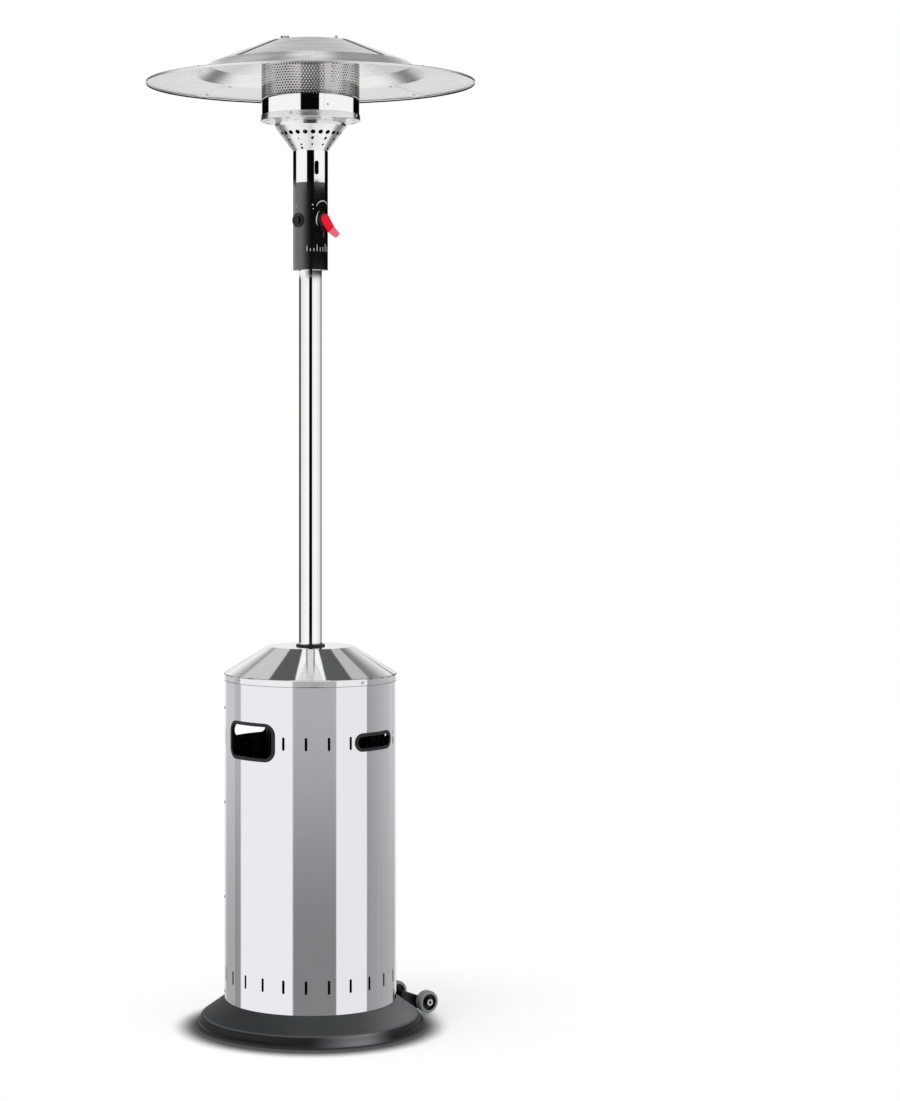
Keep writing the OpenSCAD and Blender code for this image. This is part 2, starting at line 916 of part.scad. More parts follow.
module valve_bracket() {
    width = 20;
    sheet = 2;
    color([0.6, 0.6, 0.62])
        translate([-valve_back - sheet, -width / 2, head_z + socket_t])
            cube([sheet, width, valve_z + valve_h - head_z - 2 * socket_t]);
}

head_screw_turns = [115, 205];
low_screw_rise = 8;
high_screw_drop = 7;

module head_screw_places() {
    for (a = head_screw_turns)
        for (z = [head_z + low_screw_rise, neck_z - high_screw_drop])
            rotate([0, 0, a])
                translate([head_r, 0, z])
                    children();
}

module control_housing() {
    color([0.09, 0.09, 0.1])
        difference() {
            translate([0, 0, head_z])
                tube(head_r, head_wall, head_h);
            translate([0, 0, knob_z])
                rotate([0, 90, 0])
                    cylinder(r = knob_r + free_fit, h = 2 * head_r);
            translate([0, 0, igniter_z])
                rotate([90, 0, 0])
                    cylinder(r = bezel_sleeve_r + screw_fit, h = 2 * head_r);
            head_screw_places()
                rotate([0, 90, 0])
                    translate([0, 0, -4])
                        cylinder(r = rivet_r + screw_fit, h = 8);
        }
}

module joining_collar() {
    half = 2 * high_screw_drop;
    color([0.6, 0.6, 0.62])
        difference() {
            translate([0, 0, neck_z - half])
                tube(head_in_r - screw_fit, 2, 2 * half);
            head_screw_places()
                rotate([0, 90, 0])
                    translate([0, 0, -8])
                        cylinder(r = rivet_r + screw_fit, h = 12);
        }
}

module head_screws() {
    color([0.2, 0.2, 0.2])
        head_screw_places()
            button_head(rivet_r, rivet_head_r, 1.6, head_wall + screw_fit);
}

// The neck's upper end is drawn in and stands inside the cone
neck_inset = 16;
neck_step = 0.6;
neck_slot_turn = -24.4;
neck_slot_rise = 33;
neck_slot_w = 10;
neck_slot_h = 32;

module neck_tube() {
    color([0.85, 0.85, 0.87])
        difference() {
            translate([0, 0, neck_z])
                tube(head_r, head_wall, neck_h + neck_inset);
            translate([0, 0, cone_z])
                difference() {
                    cylinder(r = head_r + e, h = neck_inset + e);
                    translate([0, 0, -e])
                        cylinder(r = head_r - neck_step, h = neck_inset + 3 * e);
                }
            radial(neck_slot_turn, neck_z + neck_slot_rise, head_in_r - 5, 12)
                slot_2d(neck_slot_w, neck_slot_h);
            cone_screw_places()
                rotate([0, 90, 0])
                    translate([0, 0, -12])
                        cylinder(r = rivet_r + screw_fit, h = 20);
        }
}

// Gas valve and knob
valve_back = 30;
valve_front = 18;
valve_half = 13;
boss_x = 27;
spindle_r = 5;
spindle_in_x = 2;
shaft_r = 4;
shaft_end = 40;
shaft_flat = 2.4;

module valve_body() {
    color([0.72, 0.68, 0.55])
        difference() {
            union() {
                translate([-valve_back, -valve_half, valve_z])
                    cube([valve_back + valve_front, 2 * valve_half, valve_h]);
                translate([valve_front - e, 0, knob_z])
                    rotate([0, 90, 0])
                        cylinder(r = 11, h = boss_x - valve_front + e);
            }
            translate([spindle_in_x, 0, knob_z])
                rotate([0, 90, 0])
                    cylinder(r = spindle_r + running_fit, h = boss_x);
        }
}

// Round shaft with a flat on its upper side
module shaft_form(gap) {
    intersection() {
        rotate([0, 90, 0])
            cylinder(r = shaft_r + gap, h = 2 * shaft_end);
        translate([0, -2 * shaft_r, -2 * shaft_r])
            cube([2 * shaft_end, 4 * shaft_r, 2 * shaft_r + shaft_flat + gap]);
    }
}

module valve_spindle() {
    color([0.7, 0.7, 0.72])
        translate([0, 0, knob_z]) {
            translate([spindle_in_x + free_fit, 0, 0])
                rotate([0, 90, 0])
                    cylinder(r = spindle_r, h = boss_x - spindle_in_x - free_fit);
            translate([boss_x - e, 0, 0])
                intersection() {
                    shaft_form(0);
                    rotate([0, 90, 0])
                        cylinder(r = spindle_r, h = shaft_end - boss_x + e);
                }
        }
}

barrel_in_x = boss_x + knob_push + 2;
barrel_out_x = head_r + knob_out;

module knob_barrel() {
    color([0.06, 0.06, 0.06])
        translate([0, 0, knob_z])
            difference() {
                rotate([0, 90, 0])
                    translate([0, 0, barrel_in_x])
                        rotate_extrude()
                            polygon([[0, 0], [knob_r, 0], [knob_r, barrel_out_x - barrel_in_x - 3],
                                [knob_r - 2, barrel_out_x - barrel_in_x], [0, barrel_out_x - barrel_in_x]]);
                translate([barrel_in_x - e, 0, 0])
                    intersection() {
                        shaft_form(running_fit);
                        rotate([0, 90, 0])
                            cylinder(r = spindle_r, h = shaft_end - barrel_in_x + knob_push + 1 + e);
                    }
            }
}

lever_t = 7;
lever_bend = 0.61 * lever_len;
tab_t = 4.5;
tab_out = 9;
tab_w = 0.72 * lever_w;

// Lever seen along the knob's axis, hanging straight down
module lever_front() {
    circle(d = lever_w);
    polygon([[-lever_w / 2, 0], [-lever_w / 2 + 0.5, -lever_bend], [-tab_w / 2, -lever_len + 2],
        [-tab_w / 2 + 2, -lever_len], [tab_w / 2 - 2, -lever_len], [tab_w / 2, -lever_len + 2],
        [lever_w / 2 - 0.5, -lever_bend], [lever_w / 2, 0]]);
}

// Lever seen from its edge: a plate whose tab bends out from the head
module lever_edge() {
    polygon([[0, lever_w], [lever_t - 1, lever_w], [lever_t - 1, lever_w / 2], [lever_t, lever_w / 2 - 1.5],
        [lever_t, -lever_bend + 1], [lever_t + tab_out, -lever_len - e],
        [lever_t + tab_out - tab_t, -lever_len - e],
        [1, -lever_bend - 2.5], [0, -lever_bend]]);
}

module knob_lever() {
    color([0.8, 0.06, 0.1])
        translate([barrel_out_x, 0, knob_z])
            rotate([lever_turn, 0, 0])
                intersection() {
                    rotate([90, 0, 90])
                        linear_extrude(3 * lever_t)
                            lever_front();
                    translate([0, lever_w / 2, 0])
                        rotate([90, 0, 0])
                            linear_extrude(lever_w)
                                lever_edge();
                }
}

// Igniter: Z runs outwards from the control head's front line
module at_igniter() {
    translate([0, -head_r, igniter_z])
        rotate([90, 0, 0])
            children();
}

igniter_depth = 4;
bezel_t = 3.5;

module igniter_bezel() {
    color([0.04, 0.04, 0.04])
        difference() {
            at_igniter()
                rotate_extrude()
                    polygon([[0, -igniter_depth], [bezel_r, -igniter_depth], [bezel_r, bezel_t - 1.2],
                        [bezel_r - 1.2, bezel_t], [0, bezel_t]]);
            difference() {
                translate([0, 0, igniter_z - bezel_r - e])
                    cylinder(r = head_r, h = 2 * bezel_r + 2 * e);
                at_igniter()
                    translate([0, 0, -igniter_depth - e])
                        cylinder(r = bezel_sleeve_r, h = 2 * igniter_depth);
            }
            at_igniter()
                translate([0, 0, -igniter_depth - e])
                    cylinder(r = button_r + free_fit, h = igniter_depth + bezel_t + 2 * e);
        }
}

piezo_len = head_r - igniter_depth - valve_half - 2;

module piezo_igniter() {
    color([0.1, 0.1, 0.1])
        at_igniter()
            difference() {
                translate([0, 0, -igniter_depth - piezo_len])
                    cylinder(r = piezo_r, h = piezo_len);
                translate([0, 0, -igniter_depth - piezo_len + 4])
                    cylinder(r = button_r + free_fit, h = head_r);
            }
}

module igniter_button() {
    skin = 8.2;
    color([0.05, 0.05, 0.05])
        at_igniter()
            rotate_extrude()
                polygon([[0, -8], [button_r, -8], [button_r, skin - 1.4], [button_r - 1.5, skin],
                    [button_r * 0.5, skin - 0.5], [0, skin - 0.8]]);
}

// Gas line above the valve, and the burner
injector_z = cone_z + 14;
pilot_reach = 24;
pilot_half = 5;
pilot_r = 2;
spark_reach = 20;
insulator_r = 3;
cup_h = 20;
head_plate_z = screen_z + cup_h;
mixer_r = 13.5;

// Pipe with a union nut below and the injector's hexagon and nozzle above
module burner_pipe() {
    pipe_h = injector_z - valve_z - valve_h;
    nut_h = 8;
    hex_h = 9;
    nozzle_h = 5;
    color([0.75, 0.6, 0.3])
        difference() {
            translate([0, 0, valve_z + valve_h])
                union() {
                    cylinder(r = 5, h = pipe_h + e);
                    cylinder(r = 8, h = nut_h, $fn = 6);
                    translate([0, 0, pipe_h])
                        cylinder(r = 7, h = hex_h, $fn = 6);
                    translate([0, 0, pipe_h + hex_h - e])
                        cylinder(r = 4, h = nozzle_h + e);
                }
            translate([0, 0, valve_z])
                cylinder(r = 1, h = pipe_h + 2 * valve_h);
        }
}

// Pilot tube and sensing tube, each with its tip above the burner head
module pilot_burner() {
    tube_h = head_plate_z - valve_z - valve_h + 3;
    tip_h = 12;
    color([0.7, 0.55, 0.35])
        for (y = [-pilot_half, pilot_half])
            translate([-pilot_reach, y, valve_z + valve_h]) {
                cylinder(r = pilot_r, h = tube_h + e);
                translate([0, 0, tube_h])
                    cylinder(r = pilot_r + 1, h = tip_h);
            }
}

// Lead from the igniter, its insulator and the spark tip
module ignition_electrode() {
    lead_z = igniter_z + piezo_r;
    insulator_z = pan_z - 4;
    insulator_top_z = head_plate_z + 8;
    color([0.85, 0.84, 0.8])
        translate([0, -spark_reach, 0]) {
            translate([0, 0, lead_z])
                cylinder(r = 1.6, h = insulator_z - lead_z + e);
            translate([0, 0, insulator_z])
                cylinder(r = insulator_r, h = insulator_top_z - insulator_z);
            translate([0, 0, insulator_top_z - e])
                cylinder(r = 0.8, h = 8);
        }
}

module burner_holes(fit) {
    for (y = [-pilot_half, pilot_half])
        translate([-pilot_reach, y, 0])
            circle(pilot_r + fit);
    translate([0, -spark_reach])
        circle(insulator_r + fit);
}

// Perforated cone
cone_sheet = 1;
cone_lean = atan((cone_r - head_r) / cone_h);
function cone_r_at(rise) = head_r + (cone_r - head_r) * rise / cone_h;

// Rows of holes: share of the cone's height, hole radius, number, azimuth of the first
cone_rows = [[0.69, 5.5, 24, 4.8], [0.46, 4, 12, 19.8], [0.22, 2.5, 12, 19.8]];

// Row of round holes punched square to the cone's sheet
module cone_row(rise, hole_r, count, turn) {
    for (k = [0:count - 1])
        rotate([0, 0, turn + k * 360 / count])
            translate([cone_r_at(rise), 0, cone_z + rise])
                rotate([0, 90 + cone_lean, 0])
                    translate([0, 0, -8])
                        cylinder(r = hole_r, h = 16);
}

cone_screw_rise = 5.2;
cone_screw_turn = -71;

// Places of the cone's screws, with X square to the sheet
module cone_screw_places() {
    for (k = [0:3])
        rotate([0, 0, 90 * k + cone_screw_turn])
            translate([cone_r_at(cone_screw_rise), 0, cone_z + cone_screw_rise])
                rotate([0, cone_lean, 0])
                    children();
}

module burner_cone() {
    lip = 0.6;
    color([0.8, 0.8, 0.82])
        difference() {
            rotate_extrude()
                polygon([[head_r, cone_z], [cone_r, cone_top_z], [cone_r, pan_z],
                    [cone_r - cone_sheet, pan_z],
                    [cone_r - cone_sheet, cone_top_z + lip], [head_r - neck_step + screw_fit, cone_z + lip],
                    [head_r - neck_step + screw_fit, cone_z]]);
            for (row = cone_rows)
                cone_row(cone_h * row[0], row[1], row[2], row[3]);
            cone_screw_places()
                rotate([0, 90, 0])
                    translate([0, 0, -4])
                        cylinder(r = rivet_r + screw_fit, h = 8);
        }
}

module cone_screws() {
    color([0.5, 0.5, 0.52])
        cone_screw_places()
            button_head(rivet_r, 3, 1.8, (cone_r_at(cone_screw_rise) - head_in_r) / cos(cone_lean) + e);
}

// Pan, burner head and emitter
module burner_pan() {
    sheet = pan_sheet;
    bend = pan_bend;
    hole_count = 18;
    hole_r = 5;
    hole_turn = 5;
    color([0.8, 0.8, 0.82])
        difference() {
            rotate_extrude()
                polygon([[mixer_r, pan_z], [pan_r - bend, pan_z], [pan_r - 0.3 * bend, pan_z + 0.3 * bend],
                    [pan_r, pan_z + bend], [pan_r - pan_flare, pan_z + pan_h],
                    [pan_r - pan_flare - sheet, pan_z + pan_h], [pan_r - sheet, pan_z + sheet],
                    [mixer_r, pan_z + sheet]]);
            for (k = [0:hole_count - 1])
                rotate([0, 0, k * 360 / hole_count + hole_turn])
                    translate([pan_r - 2 * hole_r - 1, 0, pan_z - e])
                        cylinder(r = hole_r, h = 4);
            translate([0, 0, pan_z - e])
                linear_extrude(4)
                    burner_holes(free_fit);
            pan_rivet_places()
                rotate([0, 90, 0])
                    translate([0, 0, -4])
                        cylinder(r = rivet_r + screw_fit, h = 8);
        }
}

pan_rivet_turn = 22;
pan_rivet_rise = 0.6 * pan_h;
pan_wall_lean = pan_flare / (pan_h - pan_bend);

// Places of the pan's rivets on the flared wall, with X square to it
module pan_rivet_places() {
    for (k = [0:3])
        rotate([0, 0, 90 * k + pan_rivet_turn])
            translate([pan_r - pan_wall_lean * (pan_rivet_rise - pan_bend), 0, pan_z + pan_rivet_rise])
                rotate([0, -atan(pan_wall_lean), 0])
                    children();
}

module pan_rivets() {
    color([0.6, 0.6, 0.62])
        pan_rivet_places()
            button_head(rivet_r, rivet_head_r, rivet_head_h, pan_sheet + pan_flare + screen_sheet + 0.5);
}

// Mixing tube with a bell mouth, and the flame cup that it feeds
module burner_head() {
    sheet = 1.5;
    cup_r = cone_r - 4;
    flame_ports = 24;
    port_r = 2;
    mouth_z = injector_z + 20;
    color([0.45, 0.45, 0.46])
        difference() {
            rotate_extrude()
                polygon([[mixer_r + 1.5, mouth_z], [mixer_r + 2.5, mouth_z + 1],
                    [mixer_r - screw_fit, mouth_z + 10],
                    [mixer_r - screw_fit, screen_z], [cup_r, screen_z],
                    [cup_r, head_plate_z - 2], [cup_r - 2, head_plate_z], [0, head_plate_z],
                    [0, head_plate_z - sheet], [cup_r - 2.5, head_plate_z - sheet],
                    [cup_r - sheet, head_plate_z - 2.5], [cup_r - sheet, screen_z + sheet],
                    [mixer_r - 1.5, screen_z + sheet], [mixer_r - 1.5, mouth_z + 10],
                    [mixer_r, mouth_z + 1]]);
            for (reach = [40, 55, 70])
                for (k = [0:flame_ports - 1])
                    rotate([0, 0, k * 360 / flame_ports + reach])
                        translate([reach, 0, head_plate_z - 5])
                            cylinder(r = port_r, h = 10);
            translate([0, 0, pan_z - e])
                linear_extrude(2 * cup_h)
                    burner_holes(free_fit);
        }
}

screen_sheet = 1;
screen_edge = 6;
screen_pitch = (screen_h - band_h - screen_edge) / screen_rows;
strip_turn = -24;
strip_half = 4.2;

// Staggered rows of holes that leave the upright seam strip plain
module emitter_screen() {
    step = 360 / screen_columns;
    color([0.72, 0.72, 0.7])
        difference() {
            translate([0, 0, screen_z])
                tube(screen_r, screen_sheet, screen_top_z - screen_z);
            for (row = [0:screen_rows - 1])
                for (k = [0:screen_columns - 1])
                    let (turn = (k + (row % 2) / 2) * step)
                        if (near(turn, strip_turn) > strip_half)
                            rotate([0, 0, turn])
                                translate([screen_r - 4, 0, pan_z + band_h + (row + 0.5) * screen_pitch])
                                    rotate([0, 90, 0])
                                        cylinder(r = screen_hole_r, h = 8);
            pan_rivet_places()
                rotate([0, 90, 0])
                    translate([0, 0, -4])
                        cylinder(r = rivet_r + screw_fit, h = 8);
        }
}

module screen_cap() {
    rim_r = screen_r - screen_sheet - screw_fit;
    rim_h = 8;
    rim_wall = 1.2;
    color([0.7, 0.7, 0.72])
        difference() {
            union() {
                translate([0, 0, screen_top_z])
                    cylinder(r = screen_r, h = cap_sheet);
                translate([0, 0, screen_top_z - rim_h])
                    tube(rim_r, rim_wall, rim_h + e / 2);
            }
            stud_places()
                translate([0, 0, screen_top_z - e])
                    cylinder(r = m6_r + screw_fit, h = cap_sheet + 2 * e);
        }
}

stud_end_h = 9;

module stud_places() {
    for (k = [0:3])
        rotate([0, 0, 90 * k])
            translate([stud_reach, 0, 0])
                children();
}

// Shouldered stud with its nut under the cap
module reflector_studs() {
    nut_h = 5;
    color([0.6, 0.6, 0.62])
        stud_places() {
            translate([0, 0, screen_top_z + cap_sheet])
                cylinder(r = 2 * m6_r, h = dish_gap);
            translate([0, 0, screen_top_z - nut_h])
                cylinder(r = m6_r, h = crown_z + stud_end_h - screen_top_z + nut_h);
            translate([0, 0, screen_top_z - nut_h])
                cylinder(r = m6_head_r, h = nut_h, $fn = 6);
        }
}

// Wing nuts, all tightened with their wings in one line
module wing_nuts() {
    boss_r = 4.6;
    boss_h = 5;
    wing_t = 1.8;
    wing_turn = -45;
    color([0.7, 0.7, 0.7])
        stud_places()
            translate([0, 0, crown_z])
                rotate([0, 0, wing_turn])
                    difference() {
                        union() {
                            cylinder(r = boss_r, h = boss_h);
                            for (s = [0, 1])
                                mirror([s, 0, 0])
                                    translate([0, wing_t / 2, 0])
                                        rotate([90, 0, 0])
                                            linear_extrude(wing_t) {
                                                polygon([[0, 0.8], [8, 4], [6, 8], [0, 4.5]]);
                                                translate([7.4, 6.4])
                                                    circle(2.6);
                                            }
                        }
                        translate([0, 0, -e])
                            cylinder(r = m6_r + running_fit, h = 20);
                    }
}

// Reflector: four overlapping quarter panels
hem_r = 1.5;
hem_reach = dish_r - hem_r;
crown_hole_r = 10;
rim_z = crown_z - slope_rise - step_rise - brim_rise;
function dish_line() = [
    [crown_hole_r, crown_z], [crown_r, crown_z], [slope_r, crown_z - slope_rise],
    [brim_r, crown_z - slope_rise - step_rise], [hem_reach, rim_z]
];
seam_screw_reaches = [dish_r - 28.5, brim_r + 6];
dish_lap = 3;
dish_gap_angle = 0.02;

// Cross-section of a sheet between two depths under the dish line, from one radius to another
module dish_layer(top, bottom, from_r, to_r) {
    inner = [for (p = dish_line()) if (p[0] > from_r && p[0] < to_r) p[0]];
    reaches = concat([from_r], inner, [to_r]);
    polygon(concat(
        [for (r = reaches) [r, dish_z_at(r) - top]],
        [for (i = [len(reaches) - 1:-1:0]) [reaches[i], dish_z_at(reaches[i]) - bottom]]));
}

// Rolled rim
module dish_hem() {
    translate([hem_reach, rim_z - dish_sheet / 2])
        circle(hem_r);
}

function dish_z_at(r) = lookup(r, dish_line());

// Quarter of the dish with a tongue that lies under the next panel
module reflector_panel(turn) {
    color([0.78, 0.78, 0.78])
        difference() {
            rotate([0, 0, turn]) {
                rotate([0, 0, dish_gap_angle])
                    rotate_extrude(angle = 90) {
                        dish_layer(0, dish_sheet, crown_hole_r, hem_reach);
                        dish_hem();
                    }
                rotate([0, 0, 90 - dish_lap])
                    rotate_extrude(angle = 2 * dish_lap)
                        dish_layer(dish_sheet / 2, 2 * dish_sheet, crown_hole_r + 2, dish_r - 4);
            }
            rotate([0, 0, turn + 90 - dish_gap_angle])
                rotate_extrude(angle = 2 * dish_lap)
                    dish_layer(-8, dish_sheet, crown_hole_r / 2, dish_r + 5);
            stud_places()
                translate([0, 0, crown_z - 10])
                    cylinder(r = m6_r + screw_fit, h = 20);
            seam_screw_places()
                translate([0, 0, -10])
                    cylinder(r = rivet_r + screw_fit, h = 20);
        }
}

// Places on the brim's seams, with Z square to the sheet
module seam_screw_places() {
    lean = atan(brim_rise / (hem_reach - brim_r));
    for (k = [0:3])
        for (r = seam_screw_reaches)
            rotate([0, 0, 90 * k])
                translate([r, 0, dish_z_at(r)])
                    rotate([0, lean, 0])
                        children();
}

// Screw with its head under the brim and its nut on top
module seam_screws() {
    nut_h = 2.2;
    color([0.55, 0.55, 0.57])
        seam_screw_places() {
            cylinder(r = rivet_head_r, h = nut_h, $fn = 6);
            translate([0, 0, -2 * dish_sheet])
                rotate([0, 90, 0])
                    button_head(rivet_r, rivet_head_r, 2, 2 * dish_sheet + nut_h + 1.2);
        }
}

module reflector_right() reflector_panel(-90);
module reflector_rear() reflector_panel(0);
module reflector_left() reflector_panel(90);
module reflector_front() reflector_panel(180);

base_shell();
ballast_plate();
base_feet();
bottle_deck();
wheel_bracket();
wheel_axle();
left_hub();
left_tyre();
right_hub();
right_tyre();
leg_right();
leg_rear();
leg_left();
leg_bolts();
leg_hub();
post_flange();
flange_bolts();
post();
catch_screw();
hose_inlet();
gas_riser();
housing_front();
housing_rear();
housing_rivets();
front_trim();
right_grip_trim();
left_grip_trim();
cover();
cover_screws();
guide_bush();
head_socket();
valve_bracket();
control_housing();
joining_collar();
head_screws();
neck_tube();
valve_body();
valve_spindle();
knob_barrel();
knob_lever();
igniter_bezel();
piezo_igniter();
igniter_button();
burner_pipe();
pilot_burner();
ignition_electrode();
burner_cone();
cone_screws();
burner_pan();
pan_rivets();
burner_head();
emitter_screen();
screen_cap();
reflector_studs();
wing_nuts();
reflector_front();
reflector_right();
reflector_rear();
reflector_left();
seam_screws();
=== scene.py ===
"""Looks of a gas patio heater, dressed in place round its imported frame. All lengths are in metres."""

import logging
import math
from dataclasses import dataclass, field, replace
from enum import Enum
from functools import lru_cache
from typing import Callable, Dict, List, NamedTuple, Optional, Sequence, Tuple, Union

import bpy
import numpy as np
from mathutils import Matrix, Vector


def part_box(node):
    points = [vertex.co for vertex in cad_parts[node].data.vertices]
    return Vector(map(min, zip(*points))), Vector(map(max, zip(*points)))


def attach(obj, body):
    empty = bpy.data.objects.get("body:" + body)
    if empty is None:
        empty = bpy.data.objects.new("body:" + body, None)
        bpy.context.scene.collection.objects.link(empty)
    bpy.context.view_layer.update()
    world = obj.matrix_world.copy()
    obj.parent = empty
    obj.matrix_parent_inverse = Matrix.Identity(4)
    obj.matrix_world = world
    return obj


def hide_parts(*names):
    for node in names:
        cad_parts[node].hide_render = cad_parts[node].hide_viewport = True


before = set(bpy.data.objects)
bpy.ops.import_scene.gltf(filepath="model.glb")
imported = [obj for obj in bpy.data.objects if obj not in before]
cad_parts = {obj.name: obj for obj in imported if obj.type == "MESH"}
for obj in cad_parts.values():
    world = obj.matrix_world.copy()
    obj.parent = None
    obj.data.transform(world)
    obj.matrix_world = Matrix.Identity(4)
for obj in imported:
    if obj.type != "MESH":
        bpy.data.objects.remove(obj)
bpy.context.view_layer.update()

LOG = logging.getLogger("patio_heater")
MM = 0.001
NEARLY_ZERO = 0.0001

Colour = Tuple[float, float, float]
Stops = Sequence[Tuple[float, Union[float, Colour]]]
Input = Union["Wire", float, Sequence[float]]

DUST: Colour = (0.34, 0.33, 0.31)
# Nearly black for faces that look inwards: soot, and painted shade.
SOOT_AND_SHADE: Colour = (0.012, 0.011, 0.01)
BLACK: Colour = (0.0, 0.0, 0.0)
WHITE: Colour = (1.0, 1.0, 1.0)


def _operator(operation: str, swapped: bool = False) -> Callable[["Wire", Input], "Wire"]:
    """An operator that adds a Math node, with its two values swapped for a reflected form."""
    def apply(wire: "Wire", value: Input) -> "Wire":
        """The Math node on a wire and another value."""
        return wire.graph.maths(operation, *((value, wire) if swapped else (wire, value)))
    return apply


class Wire:
    """One value in a node tree. Python's operators on it add Math nodes."""

    def __init__(self, graph: "Graph", socket: bpy.types.NodeSocket) -> None:
        """Keep the graph and the socket that carries the value."""
        self.graph = graph
        self.socket = socket

    def other(self, name: Union[int, str]) -> "Wire":
        """Another output of the node that this value comes from."""
        return Wire(self.graph, self.socket.node.outputs[name])

    __add__, __radd__ = _operator("ADD"), _operator("ADD", True)
    __sub__, __rsub__ = _operator("SUBTRACT"), _operator("SUBTRACT", True)
    __mul__, __rmul__ = _operator("MULTIPLY"), _operator("MULTIPLY", True)
    __truediv__, __rtruediv__ = _operator("DIVIDE"), _operator("DIVIDE", True)
    __pow__, __rpow__ = _operator("POWER"), _operator("POWER", True)


class Graph:
    """A node tree that is written as Python expressions."""

    def __init__(self, owner: Union[bpy.types.Material, bpy.types.World]) -> None:
        """Empty the tree of a material or a world."""
        owner.use_nodes = True
        self.tree = owner.node_tree
        self.tree.nodes.clear()

    def node(self, kind: str, values: Optional[dict] = None, settings: Optional[dict] = None,
             output: Union[int, str] = 0) -> Wire:
        """Add one node.

        Args:
            kind: Blender's name for the node type, without ShaderNode before it.
            values: What each input socket holds or is linked to, by socket name or number.
            settings: The node's own settings, set first. "stops" holds a ramp's places and greys or colours.
            output: The output socket to give back.

        Returns:
            The chosen output.
        """
        made = self.tree.nodes.new("ShaderNode" + kind)
        for key, setting in (settings or {}).items():
            if key == "stops":
                self._set_stops(made.color_ramp, setting)
            else:
                setattr(made, key, setting)
        for key, value in (values or {}).items():
            if isinstance(value, Wire):
                self.tree.links.new(value.socket, made.inputs[key])
            else:
                self._set_input(made.inputs[key], value)
        return Wire(self, made.outputs[output] if len(made.outputs) else None)

    @staticmethod
    def _set_input(socket: bpy.types.NodeSocket, value: Union[float, Sequence[float]]) -> None:
        """Write a number, a vector or a colour into a socket."""
        if socket.type == "RGBA":
            value = ((value,) * 3 if isinstance(value, (int, float)) else tuple(value)[:3]) + (1.0,)
        socket.default_value = value

    @staticmethod
    def _set_stops(ramp: bpy.types.ColorRamp, stops: Stops) -> None:
        """Give a ramp its stops, in rising order."""
        while len(ramp.elements) < len(stops):
            ramp.elements.new(1.0)
        for element, (place, shade) in zip(ramp.elements, stops):
            element.position = place
            element.color = ((shade,) * 3 if isinstance(shade, (int, float)) else tuple(shade)) + (1.0,)

    def maths(self, operation: str, *values: Input) -> Wire:
        """A Math node on its values."""
        return self.node("Math", dict(enumerate(values)), {"operation": operation})

    def vector_maths(self, operation: str, *values: Input, output: Union[int, str] = 0) -> Wire:
        """A Vector Math node on its values."""
        return self.node("VectorMath", dict(enumerate(values)), {"operation": operation}, output)

    def dot(self, first: Input, second: Input) -> Wire:
        """Dot product of two vectors."""
        return self.vector_maths("DOT_PRODUCT", first, second, output="Value")

    def coordinates(self, kind: str) -> Wire:
        """Texture coordinates of the shaded point, by the name of their kind."""
        return self.node("TexCoord", output=kind)

    def parts(self, vector: Wire) -> Tuple[Wire, Wire, Wire]:
        """The three parts of a vector."""
        east = self.node("SeparateXYZ", {0: vector})
        return east, east.other(1), east.other(2)

    def upward(self) -> Wire:
        """How far the surface faces up, 1 where it lies level."""
        return self.parts(self.coordinates("Normal"))[2]

    def ramp(self, value: Wire, stops: Stops) -> Wire:
        """Grey or colour that follows a value between 0 and 1."""
        return self.node("ValToRGB", {0: value}, {"stops": stops})

    def noise(self, place: Wire, scale: float, detail: float = 2.0, roughness: float = 0.5) -> Wire:
        """Cloudy noise between 0 and 1 about its middle."""
        values = {"Vector": place, "Scale": scale, "Detail": detail, "Roughness": roughness}
        return self.node("TexNoise", values)

    def cells(self, place: Wire, scale: float) -> Wire:
        """Distance to the nearest of randomly strewn points."""
        return self.node("TexVoronoi", {"Vector": place, "Scale": scale}, output="Distance")

    def steps(self, value: Input, low: float, high: float) -> Wire:
        """Smooth step from 0 at low to 1 at high, or the other way where low is the greater."""
        values = {"Value": value, "From Min": min(low, high), "From Max": max(low, high)}
        rise = self.node("MapRange", values, {"interpolation_type": "SMOOTHSTEP"})
        return rise if low < high else 1.0 - rise

    def scaled(self, place: Wire, factors: Sequence[float]) -> Wire:
        """A vector stretched by a factor on each axis."""
        return self.vector_maths("MULTIPLY", place, factors)

    def reach(self, place: Wire) -> Wire:
        """Distance from the post's centre line."""
        east, north, _ = self.parts(place)
        return (east * east + north * north) ** 0.5

    def ringed(self, place: Wire, across: float, along: float, drift: Input = 0.0) -> Wire:
        """Coordinates for lines that run round the post: fast with the distance from it, slow round it."""
        east, north, _ = self.parts(place)
        reach = self.reach(place) + NEARLY_ZERO
        values = {0: reach * across + drift, 1: east / reach * along, 2: north / reach * along}
        return self.node("CombineXYZ", values)

    def azimuth(self, ahead: Wire, aside: Wire) -> Wire:
        """Angle in degrees of a direction that is given by its parts ahead and to the side."""
        return self.maths("ARCTAN2", aside, ahead) * math.degrees(1.0)

    def mix(self, share: Input, first: Input, second: Input) -> Wire:
        """Colour between two colours."""
        return self.node("Mix", {0: share, 6: first, 7: second}, {"data_type": "RGBA"}, 2)

    def layered(self, colour: Input, *layers: Tuple[Input, Input]) -> Input:
        """A colour with others laid over it in turn, each by its share."""
        for share, shade in layers:
            colour = self.mix(share, colour, shade)
        return colour


def toned(colour: Colour, factor: float, shift: float = 0.0) -> Colour:
    """A colour made darker or paler, with none of its parts above 1."""
    return tuple(min(1.0, factor * part + shift) for part in colour)


class Look(NamedTuple):
    """What a finish varies over a surface."""

    colour: Input
    roughness: Input
    height: Wire


